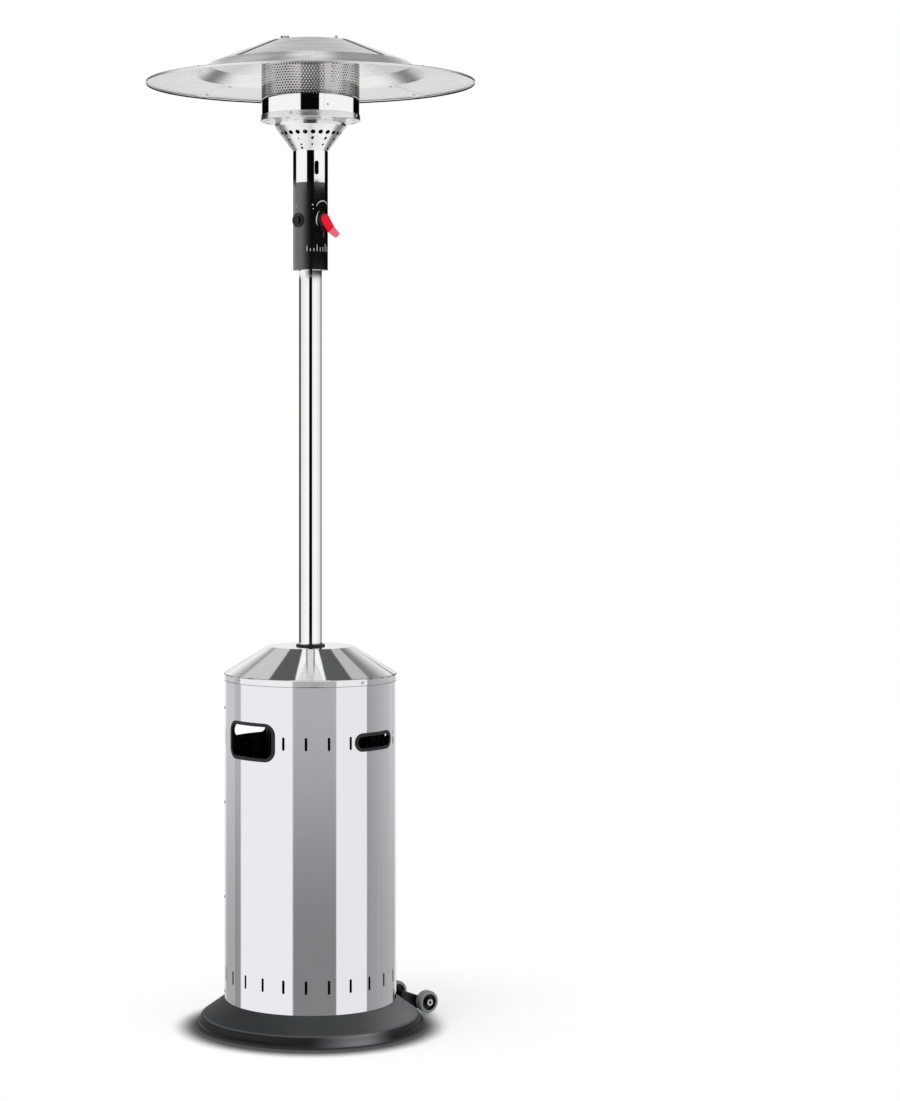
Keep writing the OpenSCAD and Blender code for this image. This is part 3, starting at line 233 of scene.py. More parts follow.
@dataclass(frozen=True)
class Finish:
    """A surface finish. Each kind of finish gives its own pattern."""

    name: str
    colour: Colour
    roughness: float
    metallic: float = 0.0
    coat: float = 0.0
    relief: float = 0.00002
    coat_roughness: float = 0.08
    coat_ior: float = 1.5
    specular: float = 0.5

    def look(self, graph: Graph, place: Wire) -> Look:
        """Pattern of the finish.

        Args:
            graph: The material's node tree.
            place: The point on the piece, in object coordinates.

        Returns:
            Colour, roughness and height over the surface.
        """
        raise NotImplementedError


@dataclass(frozen=True)
class PowderCoat(Finish):
    """Baked powder paint: orange peel, a little dust on what faces up, and small rubbed spots."""

    relief: float = 0.00006
    dust: float = 0.05

    def look(self, graph: Graph, place: Wire) -> Look:
        """Orange peel is two sizes of noise added. Dust follows the upward normal times a cloud."""
        peel = 0.7 * graph.noise(place, 420.0, 1.0) + 0.3 * graph.noise(place, 1300.0, 1.0)
        cloud = graph.noise(place, 7.0, 4.0, 0.6)
        dust_and_light = graph.steps(graph.upward(), 0.3, 1.0) * graph.steps(cloud, 0.35, 0.75) * self.dust
        wear_and_highlight = graph.steps(graph.noise(place, 34.0, 5.0, 0.7), 0.62, 0.72) * 0.35
        paint = graph.mix(cloud, toned(self.colour, 0.86), toned(self.colour, 1.12, 0.004))
        rough = self.roughness + 0.06 * (cloud - 0.5) - 0.08 * wear_and_highlight + 0.3 * dust_and_light
        return Look(graph.mix(dust_and_light, paint, DUST), rough, peel)


@dataclass(frozen=True)
class PaintedLightCoat(PowderCoat):
    """Powder paint on the base with painted light and shade: lit towards the wheels, shaded away from them, a
    painted highlight on the crease, and the wall under the crease painted darker as shade.
    """

    crease_z: float = 0.026
    crease_w: float = 0.0016
    # Colours of painted shade, of painted light on the side towards the wheels, and of painted highlights.
    shadow: Colour = (0.004, 0.004, 0.0045)
    dust_and_light: Colour = (0.12, 0.118, 0.127)
    wear_and_highlight: Colour = (0.1, 0.1, 0.102)
    painted_light: Colour = (0.24, 0.238, 0.25)

    def look(self, graph: Graph, place: Wire) -> Look:
        """Layers of painted light and shade over the paint: painted shadow away from the wheels, painted light
        towards them, painted shade on the wall under the crease, a painted lit top on the far side, a painted gleam
        on the wall and a painted highlight on the crease, which is a narrow peak in height."""
        base = super().look(graph, place)
        east, north, height = graph.parts(place)
        side = (east + north) * math.sqrt(0.5)
        cloud = graph.noise(place, 16.0, 4.0, 0.6)
        lit_side = graph.steps(side + 0.05 * (cloud - 0.5), 0.02, 0.24) * graph.steps(height, 0.02, 0.03)
        low = graph.steps(height, self.crease_z, self.crease_z - self.crease_w)
        far = graph.steps(side, 0.1, 0.26) * graph.steps(height, self.crease_z, self.crease_z + 0.004)
        gleam = graph.steps(side, -0.01, 0.12) * graph.steps(side, 0.19, 0.12) * low
        peak = (graph.steps(height, self.crease_z - self.crease_w, self.crease_z)
                * graph.steps(height, self.crease_z + 2 * self.crease_w, self.crease_z))
        # All these layers are painted light and shade: shadow, lit side, shaded wall, lit top, gleam and crease
        # highlight.
        colour = graph.layered(base.colour, (graph.steps(side, 0.0, -0.2) * 0.45, self.shadow),
                               (lit_side * 0.62, self.dust_and_light), (low * 0.8, self.shadow), (far * 0.5, self.painted_light),
                               (gleam * 0.8, self.painted_light), (peak * 0.6, self.wear_and_highlight))
        return base._replace(colour=colour)


class Grain(Enum):
    """Which way the fine lines of a worked metal run."""

    LEVEL = "level lines round the post"
    UPRIGHT = "lines up and down"
    RINGS = "rings round the post"


@dataclass(frozen=True)
class WorkedMetal(Finish):
    """Bare metal with fine lines from brushing, drawing or spinning, faint clouds and hand marks."""

    metallic: float = 1.0
    relief: float = 0.000004
    grain: Grain = Grain.LEVEL
    lines: float = 0.06
    clouds: float = 0.05
    shade: float = 0.93
    smears: float = 0.04
    soot_and_shade: bool = False

    def _along_grain(self, graph: Graph, place: Wire) -> Wire:
        """Coordinates that change slowly along the lines and fast across them."""
        if self.grain is Grain.RINGS:
            return graph.ringed(place, 1100.0, 3.0)
        return graph.scaled(place, (5.0, 5.0, 1400.0) if self.grain is Grain.LEVEL else (1400.0, 1400.0, 4.0))

    @staticmethod
    def _inward(graph: Graph, place: Wire) -> Wire:
        """1 on faces that look towards the post's centre line, from the normal's part along the reach."""
        reach = graph.vector_maths("NORMALIZE", graph.scaled(place, (1.0, 1.0, 0.0)))
        return graph.steps(graph.dot(graph.coordinates("Normal"), reach), -0.1, -0.3)

    def look(self, graph: Graph, place: Wire) -> Look:
        """Lines are noise stretched along the grain. Clouds and smears are plain noise at two sizes."""
        across = self._along_grain(graph, place)
        fine = graph.noise(across, 1.0, 3.0, 0.6)
        broad = graph.noise(graph.scaled(across, (0.08, 0.08, 0.08)), 1.0, 3.0, 0.55)
        cloud = graph.noise(place, 11.0, 4.0, 0.55)
        smear = graph.steps(graph.noise(place, 26.0, 5.0, 0.65), 0.56, 0.74)
        tone = 0.35 * cloud + 0.4 * broad + 0.25 * fine
        rough = self.roughness + self.lines * (fine - 0.5) + self.clouds * (cloud - 0.5) + self.smears * smear
        colour = graph.mix(tone, toned(self.colour, self.shade), self.colour)
        # Faces that look towards the post turn nearly black: partly soot near the flame, partly painted shade inside
        # hollows and on the reflector's rim lip.
        if self.soot_and_shade:
            inward = self._inward(graph, place)
            colour = graph.mix(inward, colour, SOOT_AND_SHADE)
            rough = rough + 0.6 * inward
        return Look(colour, rough, fine)


@dataclass(frozen=True)
class RolledSheet(WorkedMetal):
    """Rolled sheet with broad streaks from the mill, greyer on the side that looks up."""

    outside: Colour = (0.9, 0.9, 0.905)
    streaks: float = 0.5

    def look(self, graph: Graph, place: Wire) -> Look:
        """Streaks are noise that changes fast with the distance from the post and slowly round it."""
        base = super().look(graph, place)
        drift = 2.5 * graph.noise(place, 7.0, 3.0)
        streak = graph.noise(graph.ringed(place, 90.0, 1.3, drift), 1.0, 5.0, 0.65)
        share = graph.steps(streak, 0.38, 0.66) * self.streaks
        inner = graph.mix(share * 0.4, base.colour, toned(self.colour, 0.62))
        outer = graph.mix(share, self.outside, toned(self.outside, 0.55))
        colour = graph.mix(graph.steps(graph.upward(), -0.02, 0.04), inner, outer)
        return Look(colour, base.roughness + 0.12 * (streak - 0.5), base.height)


@dataclass(frozen=True)
class HeatedSteel(WorkedMetal):
    """Steel that has been hot: straw and a trace of blue drift over it in clouds, stronger higher up."""

    straw: Colour = (0.56, 0.47, 0.33)
    blue: Colour = (0.36, 0.37, 0.43)
    low_z: float = 2.0
    high_z: float = 2.3
    tint: float = 0.5

    def look(self, graph: Graph, place: Wire) -> Look:
        """The tint's share is a cloud times the height between low_z and high_z."""
        base = super().look(graph, place)
        warm = graph.steps(graph.parts(place)[2], self.low_z, self.high_z) * self.tint
        warm = graph.steps(graph.noise(place, 14.0, 3.0), 0.25, 0.75) * warm
        cool = graph.steps(graph.noise(place, 23.0, 3.0), 0.55, 0.8) * warm
        return base._replace(colour=graph.layered(base.colour, (warm, self.straw), (cool, self.blue)))


@dataclass(frozen=True)
class PaintedReflectionSteel(HeatedSteel):
    """Hot steel with a painted reflection of dark cards: upright dark bands on the camera's side."""

    # Colour of the painted reflection.
    painted_reflection: Colour = (0.2, 0.2, 0.195)
    facing: float = -45.0
    middle_w: float = 11.0
    flanks: Tuple[float, float] = (64.0, 100.0)
    soft: float = 4.0

    def look(self, graph: Graph, place: Wire) -> Look:
        """Painted reflection: dark lies within middle_w of the camera's side and between the flanks' two angles, in
        degrees.
        """
        base = super().look(graph, place)
        east, north, _ = graph.parts(place)
        aside = graph.maths("ABSOLUTE", graph.azimuth(east, north) - self.facing)
        middle = graph.steps(aside, self.middle_w + 1.5, self.middle_w - 1.5)
        near, far = self.flanks
        flanks = (graph.steps(aside, near - self.soft, near + self.soft)
                  * graph.steps(aside, far + self.soft, far - self.soft))
        return base._replace(colour=graph.mix(middle * 0.85 + flanks * 0.55, base.colour, self.painted_reflection))


@dataclass(frozen=True)
class MouldedPlastic(Finish):
    """Moulded plastic with a spark-eroded grain and faint flow clouds."""

    relief: float = 0.00003
    grain_scale: float = 1500.0

    def look(self, graph: Graph, place: Wire) -> Look:
        """The grain is the distance to strewn points. Flow clouds shift roughness and tone."""
        grain = graph.cells(place, self.grain_scale)
        cloud = graph.noise(place, 18.0, 3.0, 0.5)
        handled = graph.steps(graph.noise(place, 60.0, 4.0, 0.6), 0.52, 0.75)
        tone = graph.mix(cloud, toned(self.colour, 0.88), toned(self.colour, 1.08, 0.002))
        return Look(tone, self.roughness + 0.07 * (cloud - 0.5) - 0.05 * handled, grain)


@dataclass(frozen=True)
class WornRubber(Finish):
    """Rubber or soft plastic with scuffs and trodden-in dust."""

    relief: float = 0.00008
    dust: Colour = (0.3, 0.29, 0.27)

    def look(self, graph: Graph, place: Wire) -> Look:
        """Dust lies where coarse noise is high. Scuffs are a second, finer noise."""
        coarse = graph.noise(place, 40.0, 5.0, 0.65)
        scuff = graph.noise(place, 380.0, 3.0, 0.6)
        dust_and_light = graph.steps(coarse, 0.5, 0.8) * 0.3
        colour = graph.mix(dust_and_light, self.colour, self.dust)
        return Look(colour, self.roughness + 0.15 * (scuff - 0.5) + 0.1 * dust_and_light, scuff)


@dataclass(frozen=True)
class CastStone(Finish):
    """Cast concrete: speckled aggregate and pores."""

    relief: float = 0.0004

    def look(self, graph: Graph, place: Wire) -> Look:
        """Aggregate is strewn points at 8 mm, pores the same at 2 mm."""
        stones = graph.cells(place, 120.0)
        pores = graph.cells(place, 480.0)
        cloud = graph.noise(place, 12.0, 5.0, 0.6)
        colour = graph.mix(0.6 * stones + 0.4 * cloud, self.colour, toned(self.colour, 1.25))
        return Look(colour, self.roughness + 0.1 * (cloud - 0.5), 0.5 * stones + 0.5 * pores)


@lru_cache(maxsize=None)
def material_of(finish: Finish) -> bpy.types.Material:
    """Blender material of a finish.

    Args:
        finish: The finish to build.

    Returns:
        A node material, made once for each finish.
    """
    made = bpy.data.materials.new(finish.name)
    graph = Graph(made)
    look = finish.look(graph, graph.coordinates("Object"))
    normal = graph.node("Bump", {"Strength": 1.0, "Distance": finish.relief, "Height": look.height})
    values = {"Base Color": look.colour, "Roughness": look.roughness, "Metallic": finish.metallic,
              "Coat Weight": finish.coat, "Coat Roughness": finish.coat_roughness,
              "Coat IOR": finish.coat_ior, "Specular IOR Level": finish.specular, "Normal": normal}
    shader = graph.node("BsdfPrincipled", values)
    graph.node("OutputMaterial", {"Surface": shader})
    made.diffuse_color = finish.colour + (1.0,)
    return made


STEEL: Colour = (0.92, 0.92, 0.925)
SCORCHED: Colour = (0.68, 0.68, 0.67)
JET: Colour = (0.003, 0.003, 0.0033)

BRUSHED = WorkedMetal("brushed_stainless", (0.927, 0.918, 0.966), 0.035, lines=0.02, clouds=0.02, smears=0.02,
                      relief=0.000002)
POLISHED_TUBE = WorkedMetal("drawn_stainless", (0.93, 0.925, 0.92), 0.022, grain=Grain.UPRIGHT, lines=0.01,
                            clouds=0.01, smears=0.02, shade=0.97, relief=0.0000001)
NECK_TUBE = replace(POLISHED_TUBE, name="neck_stainless", colour=(0.93, 0.93, 0.935), soot_and_shade=True)
POLISHED_SPUN = WorkedMetal("spun_stainless", STEEL, 0.04, lines=0.02, clouds=0.01, smears=0.02, shade=0.96,
                            relief=0.0000003, soot_and_shade=True)
COVER_STEEL = WorkedMetal("cover_stainless", STEEL, 0.05, grain=Grain.RINGS, lines=0.02, shade=0.96,
                          relief=0.000001)
CONE_STEEL = WorkedMetal("cone_stainless", STEEL, 0.17, grain=Grain.RINGS, lines=0.05, shade=0.94,
                         relief=0.000001, soot_and_shade=True)
PAN_STEEL = WorkedMetal("pan_stainless", (0.86, 0.86, 0.865), 0.2, lines=0.05, shade=0.94, relief=0.000001,
                        soot_and_shade=True)
# Dark grey: painted shade under the cover's skirt.
HEM_PAINTED_SHADE = WorkedMetal("hem_painted_shade", (0.42, 0.42, 0.43), 0.12, relief=0.000001)
HOT_STEEL = HeatedSteel("heat_worn_steel", SCORCHED, 0.07, shade=0.88, lines=0.04, soot_and_shade=True, tint=0.25)
# The screen's dark upright bands are a painted reflection.
SCREEN_STEEL = PaintedReflectionSteel("screen_steel_painted_reflection", SCORCHED, 0.07, shade=0.88, lines=0.04, soot_and_shade=True, tint=0.25)
REFLECTOR_SHEET = RolledSheet("rolled_aluminium", (0.95, 0.95, 0.955), 0.26, grain=Grain.RINGS, lines=0.12,
                              clouds=0.1, shade=0.9, relief=0.00001, smears=0.06)
# Dark grey that paints the shade of the reflector's folded seams.
SEAM_PAINTED_SHADE = WorkedMetal("seam_painted_shade", (0.2, 0.2, 0.205), 0.35, grain=Grain.RINGS)
# The lip's faces that look inwards are painted dark as shade.
LIP_SHEET = WorkedMetal("lip_aluminium", (0.9, 0.9, 0.905), 0.3, grain=Grain.RINGS, soot_and_shade=True)
ZINC = WorkedMetal("zinc_plate", (0.62, 0.62, 0.63), 0.3, grain=Grain.UPRIGHT, shade=0.85, lines=0.08)
BRASS = WorkedMetal("turned_brass", (0.72, 0.52, 0.24), 0.27, shade=0.8, lines=0.1)
COPPER = WorkedMetal("drawn_copper", (0.72, 0.38, 0.25), 0.3, grain=Grain.UPRIGHT, shade=0.78)
ANTHRACITE = PowderCoat("anthracite_coat", (0.013, 0.0136, 0.0145), 0.42, dust=0.02, specular=0.3)
BASE_COAT = PaintedLightCoat("base_coat", (0.03, 0.031, 0.034), 0.45, dust=0.02, specular=0.25)
BLACK_COAT = PowderCoat("black_coat", (0.0025, 0.0025, 0.0028), 0.3, coat=1.0, dust=0.0, relief=0.00001,
                        coat_roughness=0.035, coat_ior=2.1, specular=0.0)
BRACKET_COAT = PowderCoat("bracket_coat", (0.004, 0.004, 0.0045), 0.36, dust=0.02, specular=0.3)
TRIM_PLASTIC = MouldedPlastic("trim_plastic", (0.006, 0.006, 0.007), 0.36, specular=0.35)
KNOB_PLASTIC = MouldedPlastic("knob_plastic", JET, 0.28, specular=0.3)
HUB_PLASTIC = MouldedPlastic("hub_plastic", JET, 0.4, specular=0.3)
GLOSS_PLASTIC = MouldedPlastic("gloss_plastic", (0.003, 0.003, 0.0034), 0.2, relief=0.00001, specular=0.4)
RED_PLASTIC = MouldedPlastic("red_plastic", (0.78, 0.002, 0.022), 0.4, relief=0.00001, specular=0.15)
# A paler red: painted highlight on the lever's tab.
RED_PAINTED_HIGHLIGHT = MouldedPlastic("red_plastic_painted_highlight", (0.86, 0.13, 0.18), 0.3, coat=0.2, relief=0.00001)
TYRE = WornRubber("grey_tyre", (0.25, 0.255, 0.258), 0.55)
RUBBER = WornRubber("black_rubber", (0.02, 0.02, 0.02), 0.7)
CONCRETE = CastStone("ballast_concrete", (0.42, 0.41, 0.39), 0.85)
CERAMIC = MouldedPlastic("glazed_ceramic", (0.82, 0.8, 0.74), 0.18, coat=0.5, relief=0.00001)
PRINT = MouldedPlastic("pale_print", (0.62, 0.62, 0.62), 0.5, relief=0.000005, grain_scale=2500.0)


def dress(node: str, finish: Finish) -> None:
    """Give a CAD node its finish.

    Args:
        node: The node's name.
        finish: The finish that all its faces take.
    """
    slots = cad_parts[node].data.materials
    if not slots:
        slots.append(None)
    for index in range(len(slots)):
        slots[index] = material_of(finish)


def add_object(name: str, data: bpy.types.ID) -> bpy.types.Object:
    """A new object, linked into the scene."""
    made = bpy.data.objects.new(name, data)
    bpy.context.scene.collection.objects.link(made)
    return made


def grid_faces(rows: int, columns: int, close_rows: bool, close_columns: bool) -> np.ndarray:
    """Quads over a grid of points that is stored row by row.

    Args:
        rows: Number of rows of points.
        columns: Number of points in a row.
        close_rows: Whether the last row joins the first.
        close_columns: Whether the last point of a row joins its first.

    Returns:
        One row of four point numbers for each quad.
    """
    i, j = np.meshgrid(np.arange(rows if close_rows else rows - 1),
                       np.arange(columns if close_columns else columns - 1), indexing="ij")
    i, j = i.ravel(), j.ravel()
    up, along = (i + 1) % rows, (j + 1) % columns
    return np.stack([i * columns + j, i * columns + along, up * columns + along, up * columns + j], axis=1)


class Skin(NamedTuple):
    """What a piece takes: its finish and the body that it moves with. It also holds the record's slot that the piece
    stands for, which nothing here reads.
    """

    finish: Finish
    body: str
    slot: str


def make_piece(name: str, points: np.ndarray, faces: Sequence[np.ndarray], skin: Skin,
               smooth_angle: float = 40.0) -> bpy.types.Object:
    """Build a mesh piece that rides on a body.

    Args:
        name: The piece's name.
        points: One row of x, y, z for each point.
        faces: Arrays of point numbers, one row for each face, one array for each number of corners.
        skin: What the piece takes.
        smooth_angle: Edges sharper than this, in degrees, stay sharp.

    Returns:
        The new object.
    """
    finish, body, slot = skin
    mesh = bpy.data.meshes.new(name)
    corners = np.concatenate([block.ravel() for block in faces]).astype(np.int32)
    totals = np.concatenate([np.full(len(block), block.shape[1]) for block in faces]).astype(np.int32)
    mesh.vertices.add(len(points))
    mesh.vertices.foreach_set("co", np.ascontiguousarray(points, dtype=np.float32).ravel())
    mesh.loops.add(len(corners))
    mesh.loops.foreach_set("vertex_index", corners)
    mesh.polygons.add(len(totals))
    mesh.polygons.foreach_set("loop_start", (np.cumsum(totals) - totals).astype(np.int32))
    mesh.update(calc_edges=True)
    mesh.validate()
    mesh.polygons.foreach_set("use_smooth", np.ones(len(mesh.polygons), dtype=bool))
    mesh.set_sharp_from_angle(angle=math.radians(smooth_angle))
    mesh.materials.append(material_of(finish))
    piece = add_object(name, mesh)
    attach(piece, body)
    return piece


def around(reach: np.ndarray, angle: np.ndarray, height: np.ndarray) -> np.ndarray:
    """Points at a distance from the post, an azimuth in radians and a height."""
    reach, angle, height = np.broadcast_arrays(reach, angle, height)
    return np.stack([reach * np.cos(angle), reach * np.sin(angle), height], axis=-1)


def rounded(count: int, power: float) -> Tuple[np.ndarray, np.ndarray]:
    """Points round a superellipse that reaches from -1 to 1 both ways, squarer for a lower power."""
    turn = np.linspace(0, 2 * math.pi, count + 1)[:-1]
    return tuple(np.sign(part) * np.abs(part) ** power for part in (np.cos(turn), np.sin(turn)))


def ring(name: str, reach: Sequence[float], height: Sequence[float], columns: int, skin: Skin) -> bpy.types.Object:
    """Turn a closed section round the post.

    Args:
        name: The piece's name.
        reach: Distance of each corner of the section from the post's centre line.
        height: Height of each corner.
        columns: Number of sections round the post.
        skin: What the piece takes.

    Returns:
        The ring.
    """
    angle = 2 * math.pi * np.arange(columns) / columns
    points = around(np.array(reach)[:, None], angle[None, :], np.array(height)[:, None]).reshape(-1, 3)
    return make_piece(name, points, [grid_faces(len(reach), columns, True, True)], skin)


def strip(name: str, corners: Sequence[np.ndarray], skin: Skin) -> bpy.types.Object:
    """Carry a four-cornered section along a line and close both ends.

    Args:
        name: The piece's name.
        corners: For each of the four corners, its places along the line by x, y, z.
        skin: What the piece takes.

    Returns:
        The strip, with its faces turned outwards, which the sign of its volume tells.
    """
    corners = np.stack(corners, axis=1)
    count = len(corners)
    points = corners.reshape(-1, 3)
    faces = np.concatenate([grid_faces(count, 4, False, True),
                            [[3, 2, 1, 0], [4 * count - 4 + k for k in range(4)]]])
    a, b, c, d = (points[faces[:, k]] - points.mean(axis=0) for k in range(4))
    volume = np.einsum("ij,ij->", a, np.cross(b, c) + np.cross(c, d))
    return make_piece(name, points, [faces if volume > 0 else faces[:, ::-1]], skin, 30.0)


def button(name: str, centre: np.ndarray, out: np.ndarray, radius: float, rise: float,
           skin: Skin) -> bpy.types.Object:
    """Small domed head: rings of a quarter ellipse, closed by a point above and a flat face below.

    Args:
        name: The piece's name.
        centre: Middle of its flat face.
        out: Direction that the dome faces, of length 1.
        radius: Radius of the flat face.
        rise: Height of the dome.
        skin: What the piece takes.

    Returns:
        The head.
    """
    columns, rings = 32, 6
    side = np.cross(out, (0.0, 0.0, 1.0))
    side /= np.linalg.norm(side)
    up = np.cross(side, out)
    lift = np.arange(rings) / rings * math.pi / 2
    turn = 2 * math.pi * np.arange(columns) / columns
    across = radius * np.cos(lift)[:, None, None]
    points = (centre + across * (np.cos(turn)[None, :, None] * side + np.sin(turn)[None, :, None] * up)
              + (rise * np.sin(lift))[:, None, None] * out).reshape(-1, 3)
    points = np.concatenate([points, [centre + rise * out]])
    top = (rings - 1) * columns + np.arange(columns)
    tip = np.stack([top, np.roll(top, -1), np.full(columns, rings * columns)], axis=1)
    faces = [grid_faces(rings, columns, False, True)[:, ::-1], tip[:, ::-1], np.arange(columns)[None, :]]
    return make_piece(name, points, faces, skin, 30.0)


def node_points(node: str) -> np.ndarray:
    """Points of a CAD node's mesh, one row of x, y, z for each."""
    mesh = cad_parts[node].data
    places = np.empty(3 * len(mesh.vertices), dtype=np.float32)
    mesh.vertices.foreach_get("co", places)
    return places.reshape(-1, 3)


def outer_reach(node: str) -> float:
    """Greatest distance of a CAD node from the post's centre line."""
    return float(np.hypot(*node_points(node)[:, :2].T).max())


@dataclass
class EmitterScreen:
    """Perforated sheet round the burner, with a plain band below and a plain seam strip."""

    columns: int = 96
    rows: int = 16
    hole_r: float = 2.2 * MM
    sheet: float = 1.0 * MM
    band: float = 51.0 * MM
    top_edge: float = 6.0 * MM
    strip_azimuth: float = -24.8
    strip_columns: int = 2
    lap: float = 0.5 * MM
    sunk: float = 0.2 * MM
    screw_up: float = 27.0 * MM
    screw_r: float = 2.6 * MM
    screw_rise: float = 1.4 * MM
    segments: int = 16
    reach: float = field(init=False)
    low: float = field(init=False)
    high: float = field(init=False)

    def __post_init__(self) -> None:
        """Take the radius and heights from the CAD screen."""
        self.reach = outer_reach("emitter_screen")
        self.low, self.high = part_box("emitter_screen")[0].z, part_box("emitter_screen")[1].z

    @staticmethod
    def _sharpen_borders(mesh: bpy.types.Mesh) -> None:
        """Mark the edges that have one face only, so that the sheet's cut edge shades apart from its sides."""
        edges = np.empty(len(mesh.loops), dtype=np.int32)
        mesh.loops.foreach_get("edge_index", edges)
        border = np.bincount(edges, minlength=len(mesh.edges)) == 1
        sharp = mesh.attributes.get("sharp_edge") or mesh.attributes.new("sharp_edge", "BOOLEAN", "EDGE")
        sharp.data.foreach_set("value", border)

    def build(self) -> bpy.types.Object:
        """Lay a grid of cells round the drum, each a square of points that is joined to the points of its hole.

        Cells in every second row are shifted by half a cell, and all rows share their points along level lines.

        Returns:
            The finished screen.
        """
        side = self.segments // 4
        quarter = self.columns * side
        low, high = self.low + self.band, self.high - self.top_edge
        rise = (high - low) / self.rows
        step = 2 * math.pi / self.columns
        start = math.radians(self.strip_azimuth) - step * self.strip_columns / 2

        lines = np.concatenate([[self.low], low + rise * np.arange(self.rows + 1), [self.high]])
        line_angle = start + step / side * np.arange(quarter)
        line_points = around(self.reach, line_angle[None, :], lines[:, None]).reshape(-1, 3)

        row, column = np.meshgrid(np.arange(self.rows), np.arange(self.columns), indexing="ij")
        shift = (row % 2) * (side // 2)
        left = start + step * (column + (row % 2) / 2)
        part = np.arange(1, side) / side
        edge_points = around(self.reach, left[..., None], low + rise * (row[..., None] + part)).reshape(-1, 3)
        edge_base = len(line_points)

        turn = 2 * math.pi * np.arange(self.segments) / self.segments - 0.75 * math.pi
        hole_angle = left[..., None] + step / 2 + self.hole_r * np.cos(turn) / self.reach
        hole_height = low + rise * (row[..., None] + 0.5) + self.hole_r * np.sin(turn)
        hole_points = around(self.reach, hole_angle, hole_height).reshape(-1, 3)
        hole_base = edge_base + len(edge_points)

        def on_line(line: np.ndarray, place: np.ndarray) -> np.ndarray:
            """Number of the point at a place along a level line."""
            return line * quarter + place % quarter

        def on_edge(place: np.ndarray) -> np.ndarray:
            """Numbers of the inner points up the left edge of the cells in a column."""
            cell = row * self.columns + place % self.columns
            return edge_base + cell[..., None] * (side - 1) + np.arange(side - 1)

        first = column * side + shift
        along = np.arange(side)
        bottom = on_line(row[..., None] + 1, first[..., None] + along)
        top = on_line(row[..., None] + 2, first[..., None] + side - along)
        outline = np.concatenate([bottom, on_line(row + 1, first + side)[..., None], on_edge(column + 1), top,
                                  on_line(row + 2, first)[..., None], on_edge(column)[..., ::-1]], axis=-1)
        outline = outline.reshape(-1, self.segments)
        hole = hole_base + np.arange(self.rows * self.columns * self.segments).reshape(-1, self.segments)
        quads = np.stack([outline, np.roll(outline, -1, axis=1), np.roll(hole, -1, axis=1), hole],
                         axis=-1).reshape(-1, 4)
        plain = hole[column.ravel() < self.strip_columns]
        place = np.arange(quarter)
        ends = [np.stack([on_line(line, place), on_line(line, place + 1), on_line(line + 1, place + 1),
                          on_line(line + 1, place)], axis=1) for line in (0, self.rows + 1)]
        points = np.concatenate([line_points, edge_points, hole_points])
        piece = make_piece("perforated_screen", points, [quads, plain, np.concatenate(ends)],
                           Skin(SCREEN_STEEL, "stand", "heat_steel"))
        piece.data.materials.append(material_of(POLISHED_SPUN))
        shade = np.zeros(len(piece.data.polygons), dtype=np.int32)
        shade[len(quads) + len(plain):][:quarter] = 1
        piece.data.polygons.foreach_set("material_index", shade)
        self._sharpen_borders(piece.data)
        solid = piece.modifiers.new("sheet", "SOLIDIFY")
        solid.thickness = self.sheet
        solid.offset = -1.0
        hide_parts("emitter_screen")
        self._lay_strip(step * self.strip_columns)
        return piece

    def _lay_strip(self, width: float) -> None:
        """Lay the raised seam strip over the columns without holes, width being its angle in radians."""
        place = math.radians(self.strip_azimuth)
        angle = place + width * np.linspace(-0.5, 0.5, 9)
        edge = self.low + self.band
        for name, low, high, finish in (("seam_low", self.low + MM, edge, POLISHED_SPUN),
                                        ("seam_high", edge, self.high - MM, HOT_STEEL)):
            corners = [around(self.reach + lift, angle, height) for lift, height in (
                (-self.sunk, low), (self.lap, low), (self.lap, high), (-self.sunk, high))]
            strip(name, corners, Skin(finish, "stand", "heat_steel"))
        out = np.array([math.cos(place), math.sin(place), 0.0])
        centre = around(self.reach + self.lap, place, self.low + self.screw_up)
        button("seam_head", centre, out, self.screw_r, self.screw_rise, Skin(ZINC, "stand", "zinc_steel"))


@dataclass
class MirrorTube:
    """Plain tube with even columns, in place of a CAD tube whose mirror bands have to run straight."""

    name: str
    node: str
    skin: Skin
    wall: float = 1.2 * MM
    columns: int = 144

    def build(self) -> bpy.types.Object:
        """Turn the wall's section round the post.

        Returns:
            The tube, closed at both ends between its outside and its bore.
        """
        low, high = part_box(self.node)
        outer = outer_reach(self.node)
        bore = outer - self.wall
        piece = ring(self.name, (outer, outer, bore, bore), (low.z, high.z, high.z, low.z), self.columns, self.skin)
        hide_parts(self.node)
        return piece


